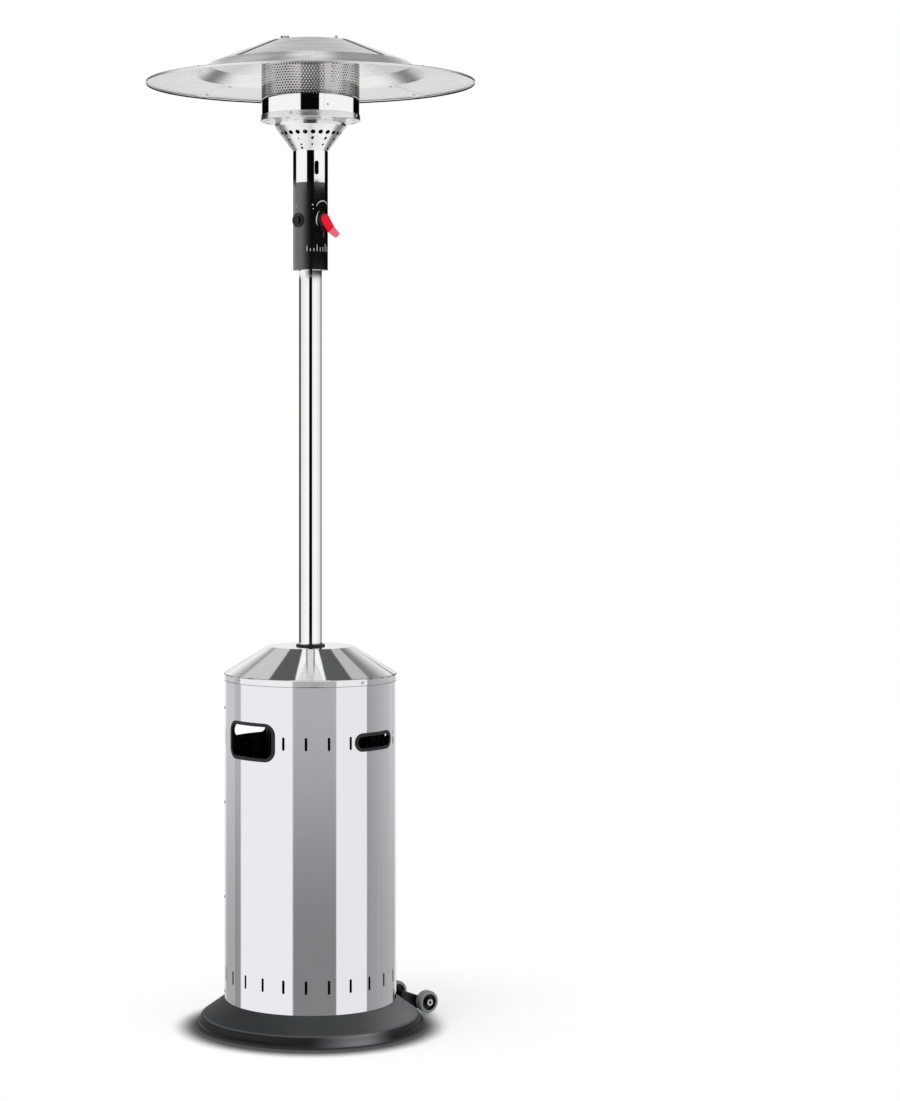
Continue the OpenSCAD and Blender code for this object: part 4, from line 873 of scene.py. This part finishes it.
@dataclass
class ReflectorTrim:
    """Folded seams on the reflector's slope, and the lip that is turned down at its rim."""

    inner: float = 107.0 * MM
    outer: float = 230.5 * MM
    fall: float = 0.3937
    crown_reach: float = 105.0 * MM
    seam_gap: float = 8.0 * MM
    seam_w: float = 1.8 * MM
    seam_t: float = 1.0 * MM
    sunk: float = 0.3 * MM
    lip_t: float = 0.8 * MM
    lip_h: float = 3.4 * MM
    lip_inset: float = 0.4 * MM
    lip_lap: float = 0.5 * MM
    columns: int = 240

    def build(self) -> List[bpy.types.Object]:
        """Lay two ridges at each of the four seams and turn the lip round the rim.

        A ridge's height falls evenly with its distance from the crown's edge.

        Returns:
            The ridges and the lip.
        """
        low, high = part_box("reflector_front")
        reach = np.linspace(self.inner, self.outer, 12)
        height = high.z - self.fall * (reach - self.crown_reach)
        made = []
        for k in range(4):
            for side, name in ((-1, "right"), (1, "left")):
                corners = []
                for across, lift in ((-1, -self.sunk), (1, -self.sunk), (1, self.seam_t), (-1, self.seam_t)):
                    angle = k * math.pi / 2 + (side * self.seam_gap + across * self.seam_w) / 2 / reach
                    corners.append(around(reach, angle, height + lift))
                # The ridges are dark grey: painted shade along the seams.
                made.append(strip(f"seam_ridge_{k}_{name}", corners,
                                  Skin(SEAM_PAINTED_SHADE, "stand", "reflector_aluminium")))
        rim = outer_reach("reflector_front") - self.lip_inset
        top = low.z + self.lip_lap
        made.append(ring("rim_lip", (rim, rim, rim - self.lip_t, rim - self.lip_t),
                         (top - self.lip_h, top, top, top - self.lip_h), self.columns,
                         Skin(LIP_SHEET, "stand", "reflector_aluminium")))
        return made


@dataclass
class CoverHem:
    """Folded hem round the lower edge of the cover's skirt, dark grey as painted shade."""

    height: float = 1.7 * MM
    rise: float = 0.35 * MM
    sunk: float = 0.3 * MM
    columns: int = 180

    def build(self) -> bpy.types.Object:
        """Turn the hem's section round the post, and give back the hem."""
        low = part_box("cover")[0].z
        outer = outer_reach("cover")
        face, back, top = outer + self.rise, outer - self.sunk, low + self.height
        return ring("cover_hem", (face, face, back, back), (low, top, top, low), self.columns,
                    Skin(HEM_PAINTED_SHADE, "housing", "polished_steel"))


@dataclass
class AxleEnds:
    """Dark buttons on the two ends of the wheels' axle: painted shade that stands for their centre holes."""

    radius: float = 3.6 * MM
    rise: float = 0.4 * MM

    def build(self) -> List[bpy.types.Object]:
        """Set a flat dark button into each end, at the axle's farthest points along the line of the hubs.

        Returns:
            The two buttons.
        """
        left, right = (sum(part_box(node), Vector()) / 2 for node in ("left_hub", "right_hub"))
        line = np.array((left - right).normalized())
        middle = np.array((left + right) / 2)
        along = node_points("wheel_axle").astype(float) @ line
        made = []
        for name, sign, end in (("axle_hole_shade_left", 1.0, along.max()), ("axle_hole_shade_right", -1.0, along.min())):
            centre = middle + (end - middle @ line) * line
            made.append(button(name, centre, sign * line, self.radius, self.rise,
                               Skin(BRACKET_COAT, "stand", "zinc_steel")))
        return made


@dataclass
class WallTrim:
    """Rounded channel frame that grips the edge of an opening in the housing's wall."""

    name: str
    node: str
    azimuth: float
    width: float
    height: float
    corner: float
    rim: float = 8.0 * MM
    stand_off: float = 2.0 * MM
    depth: float = 5.0 * MM
    arc_steps: int = 12
    flat_steps: int = 10
    profile_points: int = 24
    profile_power: float = 0.55
    middle: float = field(init=False)
    wall: float = field(init=False)

    def __post_init__(self) -> None:
        """Take the height and the outer radius from the CAD trim."""
        low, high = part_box(self.node)
        self.middle = (low.z + high.z) / 2
        self.wall = outer_reach(self.node) - self.stand_off

    def _outline(self, inset: np.ndarray) -> Tuple[np.ndarray, np.ndarray]:
        """Rounded rectangle, drawn in by an inset: straight sides joined by quarter circles.

        Args:
            inset: How far each copy of the outline is drawn in.

        Returns:
            Sideways and upward places, one row for each inset.
        """
        corner = self.corner - inset[:, None, None]
        half = np.array([self.width, self.height]) / 2 - self.corner
        signs = np.array([(1, 1), (-1, 1), (-1, -1), (1, -1)])
        share = np.linspace(0, 1, self.flat_steps + 2)[1:-1, None]

        def bend(k: int, turn: np.ndarray) -> np.ndarray:
            """Points of the k-th round corner, turn being the angle from its start."""
            angle = turn + k * math.pi / 2
            return signs[k % 4] * half + corner * np.stack([np.cos(angle), np.sin(angle)], axis=-1)

        outline = []
        for k in range(4):
            arc = bend(k, np.linspace(0, math.pi / 2, self.arc_steps))
            outline += [arc, arc[:, -1:] * (1 - share) + bend(k + 1, np.zeros(1)) * share]
        return tuple(np.moveaxis(np.concatenate(outline, axis=1), -1, 0))

    def build(self) -> bpy.types.Object:
        """Carry a closed profile round the opening.

        The profile is a superellipse: its inset runs from the outer edge to the rim's inner edge, and its stand-off
        runs from the bulging outside, through the wall, to the inside.

        Returns:
            The finished trim.
        """
        u, v = rounded(self.profile_points, self.profile_power)
        outer, inner = self.wall + self.stand_off, self.wall - self.depth + self.stand_off
        reach = (outer + inner) / 2 + (outer - inner) / 2 * v
        across, up = self._outline(self.rim / 2 * (1 - u))
        out = np.sqrt(np.maximum(reach[:, None] ** 2 - across ** 2, 0))
        facing = math.radians(self.azimuth)
        points = np.stack([out * math.cos(facing) - across * math.sin(facing),
                           out * math.sin(facing) + across * math.cos(facing),
                           self.middle + up], axis=-1)
        faces = grid_faces(self.profile_points, points.shape[1], True, True)
        piece = make_piece(self.name, points.reshape(-1, 3), [faces], Skin(TRIM_PLASTIC, "housing", "black_plastic"),
                           60.0)
        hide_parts(self.node)
        return piece


@dataclass
class KnobLever:
    """Red lever of the gas knob: a flat arm with a round root, and a tab that bends out at its end, painted paler as
    a painted highlight.
    """

    turn: float = 39.0
    width: float = 23.0 * MM
    thick: float = 7.0 * MM
    arm: float = 29.3 * MM
    length: float = 48.0 * MM
    tab_width: float = 16.5 * MM
    tab_thick: float = 4.5 * MM
    tab_out: float = 9.0 * MM
    tip_r: float = 2.0 * MM
    taper: float = 0.5 * MM
    overlap: float = 0.4 * MM
    columns: int = 48
    power: float = 0.28
    face: float = field(init=False)
    middle: float = field(init=False)

    def __post_init__(self) -> None:
        """Take the barrel's outer face and its axis from the CAD."""
        low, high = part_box("knob_barrel")
        self.face = high.x
        self.middle = (low.z + high.z) / 2

    def _loft(self, name: str, down: np.ndarray, half_w: np.ndarray, inner: np.ndarray, outer: np.ndarray,
              finish: Finish) -> bpy.types.Object:
        """Carry a section down the lever: a rectangle with round corners, as a superellipse.

        Args:
            name: The piece's name.
            down: Distance of each section from the knob's axis, along the lever.
            half_w: Half of its width.
            inner: Distance of its inner face from the barrel.
            outer: Distance of its outer face from the barrel.
            finish: The finish that it takes.

        Returns:
            The piece, turned about the knob's axis.
        """
        u, v = rounded(self.columns, self.power)
        x = self.face + ((inner + outer) / 2)[:, None] + ((outer - inner) / 2)[:, None] * v
        y = half_w[:, None] * u
        z = np.broadcast_to(-down[:, None], y.shape)
        tilt = math.radians(self.turn)
        points = np.stack([x, y * math.cos(tilt) - z * math.sin(tilt),
                           self.middle + y * math.sin(tilt) + z * math.cos(tilt)], axis=-1)
        caps = np.stack([np.arange(self.columns)[::-1], (len(down) - 1) * self.columns + np.arange(self.columns)])
        return make_piece(name, points.reshape(-1, 3), [grid_faces(len(down), self.columns, False, True), caps],
                          Skin(finish, "knob", "red_plastic"), 50.0)

    def build(self) -> List[bpy.types.Object]:
        """Loft the arm and the tab.

        The arm's half width follows a half circle above the axis and narrows a little below it. The tab narrows on,
        its faces run outwards in straight lines, and its end closes with a quarter circle.

        Returns:
            The arm and the tab.
        """
        root = self.width / 2
        rise = -root * np.cos(np.linspace(0, math.pi / 2, 18))
        down = np.concatenate([rise[:-1] * 0.9995, np.linspace(0, self.arm, 24)])
        half_w = np.where(down < 0, np.sqrt(np.maximum(root ** 2 - down ** 2, 0)),
                          root - self.taper * down / self.arm)
        ends = np.minimum(self.arm - down, 1.0 * MM) / MM
        ease = 0.6 * MM * (1 - np.sqrt(np.clip(1 - (1 - ends) ** 2, 0, 1)))
        arm = self._loft("lever_arm", down, half_w - ease, 0.1 * MM + ease, self.thick - ease, RED_PLASTIC)
        share = (1 - np.cos(np.linspace(0, math.pi, 36))) / 2
        down = self.arm - self.overlap + share * (self.length - self.arm + self.overlap)
        half_w = root - MM + (self.tab_width / 2 - root + MM) * share
        left = np.clip(self.length - down, 0, self.tip_r)
        half_w += np.sqrt(np.maximum(self.tip_r ** 2 - (self.tip_r - left) ** 2, 0)) - self.tip_r
        outer = self.thick - self.taper + (self.tab_out + self.taper) * share
        inner = 0.6 * MM + (self.thick + self.tab_out - self.tab_thick - 0.6 * MM) * share
        tab = self._loft("lever_tab", down, half_w, inner, outer, RED_PAINTED_HIGHLIGHT)
        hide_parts("knob_lever")
        return [arm, tab]


@dataclass
class HeadPrint:
    """Plain printed marks on the control head: an arc round the knob and rows of ticks, and a painted highlight in a
    crescent on the knob's rim.
    """

    thick: float = 0.06 * MM
    sunk: float = 0.1 * MM
    reach: float = field(init=False)
    knob_z: float = field(init=False)
    button_z: float = field(init=False)

    def __post_init__(self) -> None:
        """Take the places from the CAD control head, knob and igniter."""
        self.reach = outer_reach("control_housing")
        barrel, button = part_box("knob_barrel"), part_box("igniter_button")
        self.knob_z = (barrel[0].z + barrel[1].z) / 2
        self.button_z = (button[0].z + button[1].z) / 2

    def _band(self, name: str, along: np.ndarray, up: np.ndarray, width: np.ndarray) -> bpy.types.Object:
        """Lay a band with a rectangular section along a line on the head.

        Args:
            name: The mark's name.
            along: Distances round the head from the knob's side, towards the back.
            up: Heights above the floor.
            width: The band's width at each point.

        Returns:
            The mark.
        """
        way = np.stack([np.gradient(along), np.gradient(up)], axis=1)
        way /= np.linalg.norm(way, axis=1)[:, None]
        side = np.stack([-way[:, 1], way[:, 0]], axis=1) * width[:, None] / 2
        corners = []
        for sign, lift in ((1, -self.sunk), (-1, -self.sunk), (-1, self.thick), (1, self.thick)):
            corners.append(around(self.reach + lift, (along + sign * side[:, 0]) / self.reach,
                                  up + sign * side[:, 1]))
        return strip(name, corners, Skin(PRINT, "stand", "gloss_black"))

    def _arc(self, name: str, angle: np.ndarray, swing: np.ndarray, width: np.ndarray) -> bpy.types.Object:
        """Lay a band round the knob's axis, by its angles from the top and its radii and widths in mm."""
        return self._band(name, MM * swing * np.sin(angle), self.knob_z + MM * swing * np.cos(angle), MM * width)

    def build(self) -> List[bpy.types.Object]:
        """Print the arc round the knob, the dots beside it, the mark over the igniter and the scale below, and lay a
        painted highlight in a crescent on the knob's rim.

        The wide arc's radius falls from its top towards both ends as the square of the angle.

        Returns:
            The marks.
        """
        angle = np.radians(np.linspace(-31.0, 35.0, 40))
        fall = np.where(angle < 0, 7.5 * (angle / 0.54) ** 2, 3.8 * (angle / 0.61) ** 2)
        bulge = np.sin(np.linspace(0, math.pi, 40))
        # The crescent is no print: it is a painted highlight on the knob's rim.
        made = [self._arc("knob_arc", angle, 42.0 - fall, 0.5 + 1.6 * np.sin(np.linspace(0.25, math.pi, 40))),
                self._arc("knob_rim_painted_highlight", np.radians(np.linspace(-30.0, -136.0, 40)), 21.5 - 4.0 * bulge,
                          0.4 + 2.0 * bulge)]
        turn = np.linspace(-0.5, 0.5, 9)
        for name, along, up, size in (("knob_dot_high", -26.5, 32.7, 3.2), ("knob_dot_low", -25.2, 23.1, 2.4)):
            made.append(self._band(name, np.full(9, along * MM), self.knob_z + MM * (up + size * turn),
                                   MM * size * np.sqrt(1.03 - 4 * turn ** 2)))
        front = -math.pi / 2 * self.reach - 6.9 * MM
        made.append(self._band("igniter_tick", np.full(3, front), self.button_z + MM * np.array([29.0, 32.0, 35.0]),
                               MM * np.array([0.6, 2.2, 0.6])))
        low = self.knob_z - 74.0 * MM
        for k in range(10):
            tall = 5 + 1.1 * k if k % 3 else 12 + k
            up = low + MM * np.array([0, tall / 2, tall])
            made.append(self._band(f"scale_tick_{k}", np.full(3, MM * (-40 + 8.0 * k)), up, np.full(3, 1.3 * MM)))
        return made


# Upright panels: where each one ends, in degrees from the camera's side round to 180, and its brightness.
LOWER_PANELS = ((-156, 0.7), (-122, 0.42), (-107, 0.3), (-23.6, 0.92), (34.6, 0.235), (81, 0.88), (90, 0.33),
                (100, 0.355), (112, 0.385), (128, 0.41), (156, 0.44), (180, 0.8))
FALLING_PANELS = ((-156, 0.9), (-122, 0.62), (-107, 0.5), (-23.6, 0.92), (34.6, 0.46), (81, 0.89), (87, 0.37),
                  (93, 0.395), (100, 0.42), (108, 0.45), (117, 0.48), (130, 0.52), (156, 0.6), (180, 0.95))
POST_PANELS = ((-170, 0.7), (-114, 0.01), (-85, 0.84), (-60, 0.93), (-14, 1.0), (17, 0.002), (70, 1.0), (98, 0.9),
               (116, 0.75), (172, 0.35), (180, 0.7))
NECK_PANELS = ((-172, 0.85), (-108, 0.002), (-24, 1.0), (24, 0.002), (108, 1.0), (172, 0.002), (180, 0.85))
DRUM_PANELS = ((-160, 0.9), (-116, 0.002), (-23.4, 1.0), (20.5, 0.002), (120, 1.0), (166, 0.002), (180, 0.9))

# Stops of smooth ramps. The head's runs once round; steep and shallow run from the camera's side to the far side.
HEAD_STOPS = ((0.035, 0.9), (0.045, 0.2), (0.11, 1.0), (0.3, 1.0), (0.357, 0.75), (0.41, 0.33), (0.459, 0.09),
              (0.508, 0.005), (0.56, 0.0), (0.955, 0.0), (0.965, 0.9))
STEEP_STOPS = ((0.0, 0.62), (0.1, 0.85), (0.45, 0.97), (1.0, 0.93))
SHALLOW_STOPS = ((0.0, 0.62), (0.1, 0.85), (0.45, 0.9), (0.58, 0.5), (0.7, 0.26), (0.8, 0.12), (0.91, 0.1),
                 (0.94, 0.85), (1.0, 0.85))
STRIP_STOPS = ((0.0, 1.0), (0.113, 1.0), (0.119, 0.11), (1.0, 0.11))
LEFT_STOPS = ((0.0, 0.62), (0.73, 0.62), (0.75, 0.36), (0.78, 0.4), (0.92, 0.95))
RIGHT_STOPS = ((0.0, 0.53), (0.622, 0.53), (0.632, 0.2), (0.7, 0.24), (0.93, 0.95))


@dataclass
class Studio:
    """Camera, floor, surroundings and key lamp."""

    camera_azimuth: float = 45.0
    distance: float = 6.122
    eye_height: float = 1.395
    image_w: float = 900.0
    image_h: float = 1101.0
    focal_px: float = 2652.0
    axis_px: float = 310.5
    horizon_px: float = 419.0
    floor_half: float = 14.0
    floor_lift: float = 0.16
    shadow_reach: float = 0.42
    white_reach: float = 0.9
    # Reach, darkest brightness and shift of the painted contact shadow.
    foot_reach: float = 0.262
    shade_reach: float = 0.325
    shade_floor: float = 0.1
    shade_shift: float = 0.02
    lamp_size: float = 2.6
    lamp_power: float = 42.0
    lamp_ahead: float = 3.2
    lamp_left: float = 2.6
    lamp_height: float = 4.4

    def _towards_camera(self) -> Tuple[float, float]:
        """Level direction from the post to the camera."""
        a = math.radians(self.camera_azimuth)
        return math.sin(a), -math.cos(a)

    def camera(self) -> None:
        """Level camera, shifted so that the post and the horizon fall where the photograph has them."""
        data = bpy.data.cameras.new("camera")
        data.lens = self.focal_px * data.sensor_width / self.image_h
        data.shift_x = (self.image_w / 2 - self.axis_px) / self.image_h
        data.shift_y = (self.horizon_px - self.image_h / 2) / self.image_h
        data.clip_end = 100.0
        camera = add_object("camera", data)
        east, north = self._towards_camera()
        camera.location = (self.distance * east, self.distance * north, self.eye_height)
        camera.rotation_euler = (math.pi / 2, 0.0, math.radians(self.camera_azimuth))
        bpy.context.scene.camera = camera

    def floor(self) -> None:
        """White floor that keeps the object's shadow near it and turns plain white further out.

        Close to the foot a painted contact shadow darkens it: the floor's brightness falls smoothly from shade_reach
        to foot_reach, about a point that is shifted a little towards the camera.
        """
        half = self.floor_half
        mesh = bpy.data.meshes.new("floor")
        mesh.from_pydata([(-half, -half, 0), (half, -half, 0), (half, half, 0), (-half, half, 0)], [],
                         [(0, 1, 2, 3)])
        made = bpy.data.materials.new("floor_white")
        graph = Graph(made)
        place = graph.coordinates("Object")
        pale = graph.mix(graph.noise(place, 60.0, 2.0), (0.86, 0.86, 0.86), (0.88, 0.88, 0.88))
        front = tuple(self.shade_shift * part for part in self._towards_camera()) + (0.0,)
        shifted = graph.vector_maths("DISTANCE", place, front, output="Value")
        # Painted contact shadow: darker towards the foot.
        painted_shadow_brightness = graph.steps(shifted, self.foot_reach, self.shade_reach)
        painted_shadow_brightness = self.shade_floor + (1.0 - self.shade_floor) * painted_shadow_brightness
        matt = graph.node("BsdfDiffuse", {"Color": graph.mix(painted_shadow_brightness, BLACK, pale)})
        white = graph.node("Emission", {"Color": WHITE, "Strength": 1.0})
        lift = graph.node("Emission", {"Color": WHITE, "Strength": self.floor_lift * painted_shadow_brightness})
        seen = graph.node("LightPath", output="Is Camera Ray")
        near = graph.node("AddShader", {0: matt, 1: lift})
        share = graph.steps(graph.reach(place), self.shadow_reach, self.white_reach) * seen
        shader = graph.node("MixShader", {0: share, 1: near, 2: white})
        graph.node("OutputMaterial", {"Surface": shader})
        mesh.materials.append(made)
        plane = add_object("floor", mesh)
        plane.visible_glossy = False

    @staticmethod
    def _bands(graph: Graph, azimuth: Wire, bands: Sequence[Tuple[float, float]], soft: float = 1.2) -> Wire:
        """Upright panels of light round the object.

        Args:
            graph: The world's node tree.
            azimuth: Direction in degrees from the camera's side, positive to the picture's right.
            bands: Where each panel ends, and its brightness, from -180 degrees round to 180.
            soft: Width of the change between two panels, in degrees.

        Returns:
            Brightness.
        """
        stops: List[Tuple[float, float]] = [(0.0, bands[0][1])]
        for (end, shade), (_, following) in zip(bands[:-1], bands[1:]):
            stops.append(((end - soft / 2 + 180) / 360, shade))
            stops.append(((end + soft / 2 + 180) / 360, following))
        return graph.ramp((azimuth + 180.0) / 360.0, stops)

    def world(self) -> None:
        """Surroundings: white for the camera, soft light for matt surfaces, panels and cards for shiny ones.

        A direction is split into its azimuth from the camera's side and its rise. The panels lie in belts of rise,
        because a mirror cylinder sends the camera's rays up or down by its own height: the post, the control head,
        the neck and the drum each meet a belt of their own, with white panels left and right and black cards
        between them. Falling directions meet the same in greys, for the housing and the cone. Overhead, strips run
        along the camera's line.
        """
        world = bpy.data.worlds.new("studio")
        bpy.context.scene.world = world
        graph = Graph(world)
        ray = graph.coordinates("Generated")
        east, north = self._towards_camera()
        towards, rightward = graph.dot(ray, (east, north, 0.0)), graph.dot(ray, (-north, east, 0.0))
        rise = graph.parts(ray)[2]
        azimuth = graph.azimuth(towards, rightward)

        def above(low: float, high: float) -> Wire:
            """Share of a belt, which fades in between two rises in degrees."""
            return graph.steps(rise, math.sin(math.radians(low)), math.sin(math.radians(high)))

        turned = graph.maths("ABSOLUTE", azimuth) / 180.0
        walls = graph.mix(above(-42.0, -34.0), graph.ramp(turned, STEEP_STOPS), graph.ramp(turned, SHALLOW_STOPS))
        drum = self._bands(graph, azimuth, DRUM_PANELS)
        walls = graph.layered(
            walls, (above(-24.0, -16.0), self._bands(graph, azimuth, LOWER_PANELS, 1.0)),
            (above(-11.5, -5.8), self._bands(graph, azimuth, FALLING_PANELS, 1.0)),
            (above(-4.97, -4.89), self._bands(graph, azimuth, POST_PANELS)),
            (above(3.0, 3.15), graph.ramp((azimuth + 180.0) / 360.0, HEAD_STOPS)),
            (above(5.03, 5.1), self._bands(graph, azimuth, NECK_PANELS)), (above(5.95, 6.1), drum))

        strips = graph.ramp(graph.maths("ABSOLUTE", rightward), STRIP_STOPS)
        away = towards * -1.0
        behind = graph.mix(graph.steps(rightward, -0.02, 0.02), graph.ramp(away, LEFT_STOPS),
                           graph.ramp(away, RIGHT_STOPS))
        ceiling = graph.mix(graph.steps(towards, -0.495, -0.488), behind, strips)
        sides = graph.mix(graph.steps(rise, 0.3, 0.42), drum, 0.8)
        shiny = graph.mix(graph.steps(rise, 0.24, 0.34), walls, ceiling)
        shiny = graph.mix(graph.steps(towards, -0.1, 0.1) * graph.steps(rise, 0.2, 0.4), shiny, sides)

        slant = graph.dot(ray, (0.5 * east + 0.45 * north, 0.5 * north - 0.45 * east, 0.6))
        path = graph.node("LightPath", output="Is Camera Ray")
        light = graph.layered(0.84 + 0.3 * slant, (path.other("Is Glossy Ray"), shiny), (path, WHITE))
        shader = graph.node("Background", {"Color": light, "Strength": 1.0})
        graph.node("OutputWorld", {"Surface": shader})
        world.cycles.sampling_method = "NONE"

    def lamp(self) -> None:
        """Large soft key lamp, high on the left of the camera, that isn't mirrored in the steel."""
        data = bpy.data.lights.new("key", "AREA")
        data.shape = "DISK"
        data.size = self.lamp_size
        data.energy = self.lamp_power
        lamp = add_object("key", data)
        east, north = self._towards_camera()
        lamp.location = (self.lamp_ahead * east + self.lamp_left * north,
                         self.lamp_ahead * north - self.lamp_left * east, self.lamp_height)
        lamp.rotation_mode = "QUATERNION"
        lamp.rotation_quaternion = (Vector((0.0, 0.0, 1.0)) - lamp.location).to_track_quat("-Z", "Y")
        lamp.visible_glossy = False

    def build(self) -> None:
        """Set up the whole studio."""
        bpy.context.scene.view_settings.view_transform = "Standard"
        self.camera()
        self.floor()
        self.world()
        self.lamp()


@dataclass
class Group:
    """A sub-assembly: the finishes of its CAD nodes."""

    title: str
    finishes: Dict[Finish, Tuple[str, ...]]

    def build(self) -> None:
        """Dress every node of the group."""
        for finish, nodes in self.finishes.items():
            for node in nodes:
                dress(node, finish)
        LOG.info("%s: %d nodes dressed", self.title, sum(len(n) for n in self.finishes.values()))


def heater_groups() -> List[Group]:
    """Sub-assemblies from the floor up.

    Returns:
        The groups, which together hold every CAD node that no finer piece replaces.
    """
    return [
        Group("base", {
            BASE_COAT: ("base_shell",), ANTHRACITE: ("bottle_deck",), CONCRETE: ("ballast_plate",),
            RUBBER: ("base_feet",), BRACKET_COAT: ("wheel_bracket",), ZINC: ("wheel_axle",),
            HUB_PLASTIC: ("left_hub", "right_hub"), TYRE: ("left_tyre", "right_tyre")}),
        Group("legs and post", {
            ANTHRACITE: ("leg_right", "leg_rear", "leg_left", "leg_hub"), POLISHED_SPUN: ("post_flange",),
            ZINC: ("leg_bolts", "flange_bolts", "catch_screw"),
            BRASS: ("hose_inlet",), COPPER: ("gas_riser",)}),
        Group("bottle housing", {
            BRUSHED: ("housing_front", "housing_rear"), COVER_STEEL: ("cover",),
            ZINC: ("housing_rivets", "cover_screws"), TRIM_PLASTIC: ("guide_bush",)}),
        Group("control head", {
            BLACK_COAT: ("head_socket", "control_housing"),
            ZINC: ("valve_bracket", "joining_collar", "head_screws", "valve_spindle"),
            NECK_TUBE: ("neck_tube",), BRASS: ("valve_body",), KNOB_PLASTIC: ("knob_barrel", "igniter_button"),
            GLOSS_PLASTIC: ("igniter_bezel",), TRIM_PLASTIC: ("piezo_igniter",)}),
        Group("burner", {
            BRASS: ("burner_pipe",), COPPER: ("pilot_burner",), CERAMIC: ("ignition_electrode",),
            CONE_STEEL: ("burner_cone",), PAN_STEEL: ("burner_pan",), ZINC: ("pan_rivets",),
            BRACKET_COAT: ("cone_screws",), HOT_STEEL: ("burner_head", "screen_cap")}),
        Group("reflector", {
            REFLECTOR_SHEET: ("reflector_front", "reflector_right", "reflector_rear", "reflector_left"),
            ZINC: ("reflector_studs", "wing_nuts", "seam_screws")}),
    ]


def main() -> None:
    """Build the studio, dress the CAD nodes and add the finer pieces."""
    logging.basicConfig(level=logging.INFO, format="%(name)s: %(message)s")
    Studio().build()
    for group in heater_groups():
        group.build()
    EmitterScreen().build()
    LOG.info("perforated screen in place")
    MirrorTube("post_tube", "post", Skin(POLISHED_TUBE, "stand", "polished_steel")).build()
    LOG.info("post in place")
    LOG.info("reflector: %d seams and lip", len(ReflectorTrim().build()))
    CoverHem().build()
    LOG.info("cover's hem in place")
    LOG.info("axle: %d end holes", len(AxleEnds().build()))
    trims = [WallTrim("front_opening_trim", "front_trim", -90.0, 144.5 * MM, 87.0 * MM, 26.0 * MM)]
    for side, azimuth in (("right", 3.5), ("left", 183.5)):
        trims.append(WallTrim(f"{side}_grip_frame", f"{side}_grip_trim", azimuth, 125.0 * MM, 42.0 * MM, 21.0 * MM))
    for trim in trims:
        trim.build()
        LOG.info("%s in place", trim.name)
    LOG.info("lever: %d pieces", len(KnobLever().build()))
    LOG.info("print: %d marks", len(HeadPrint().build()))


if __name__ == "__main__":
    main()
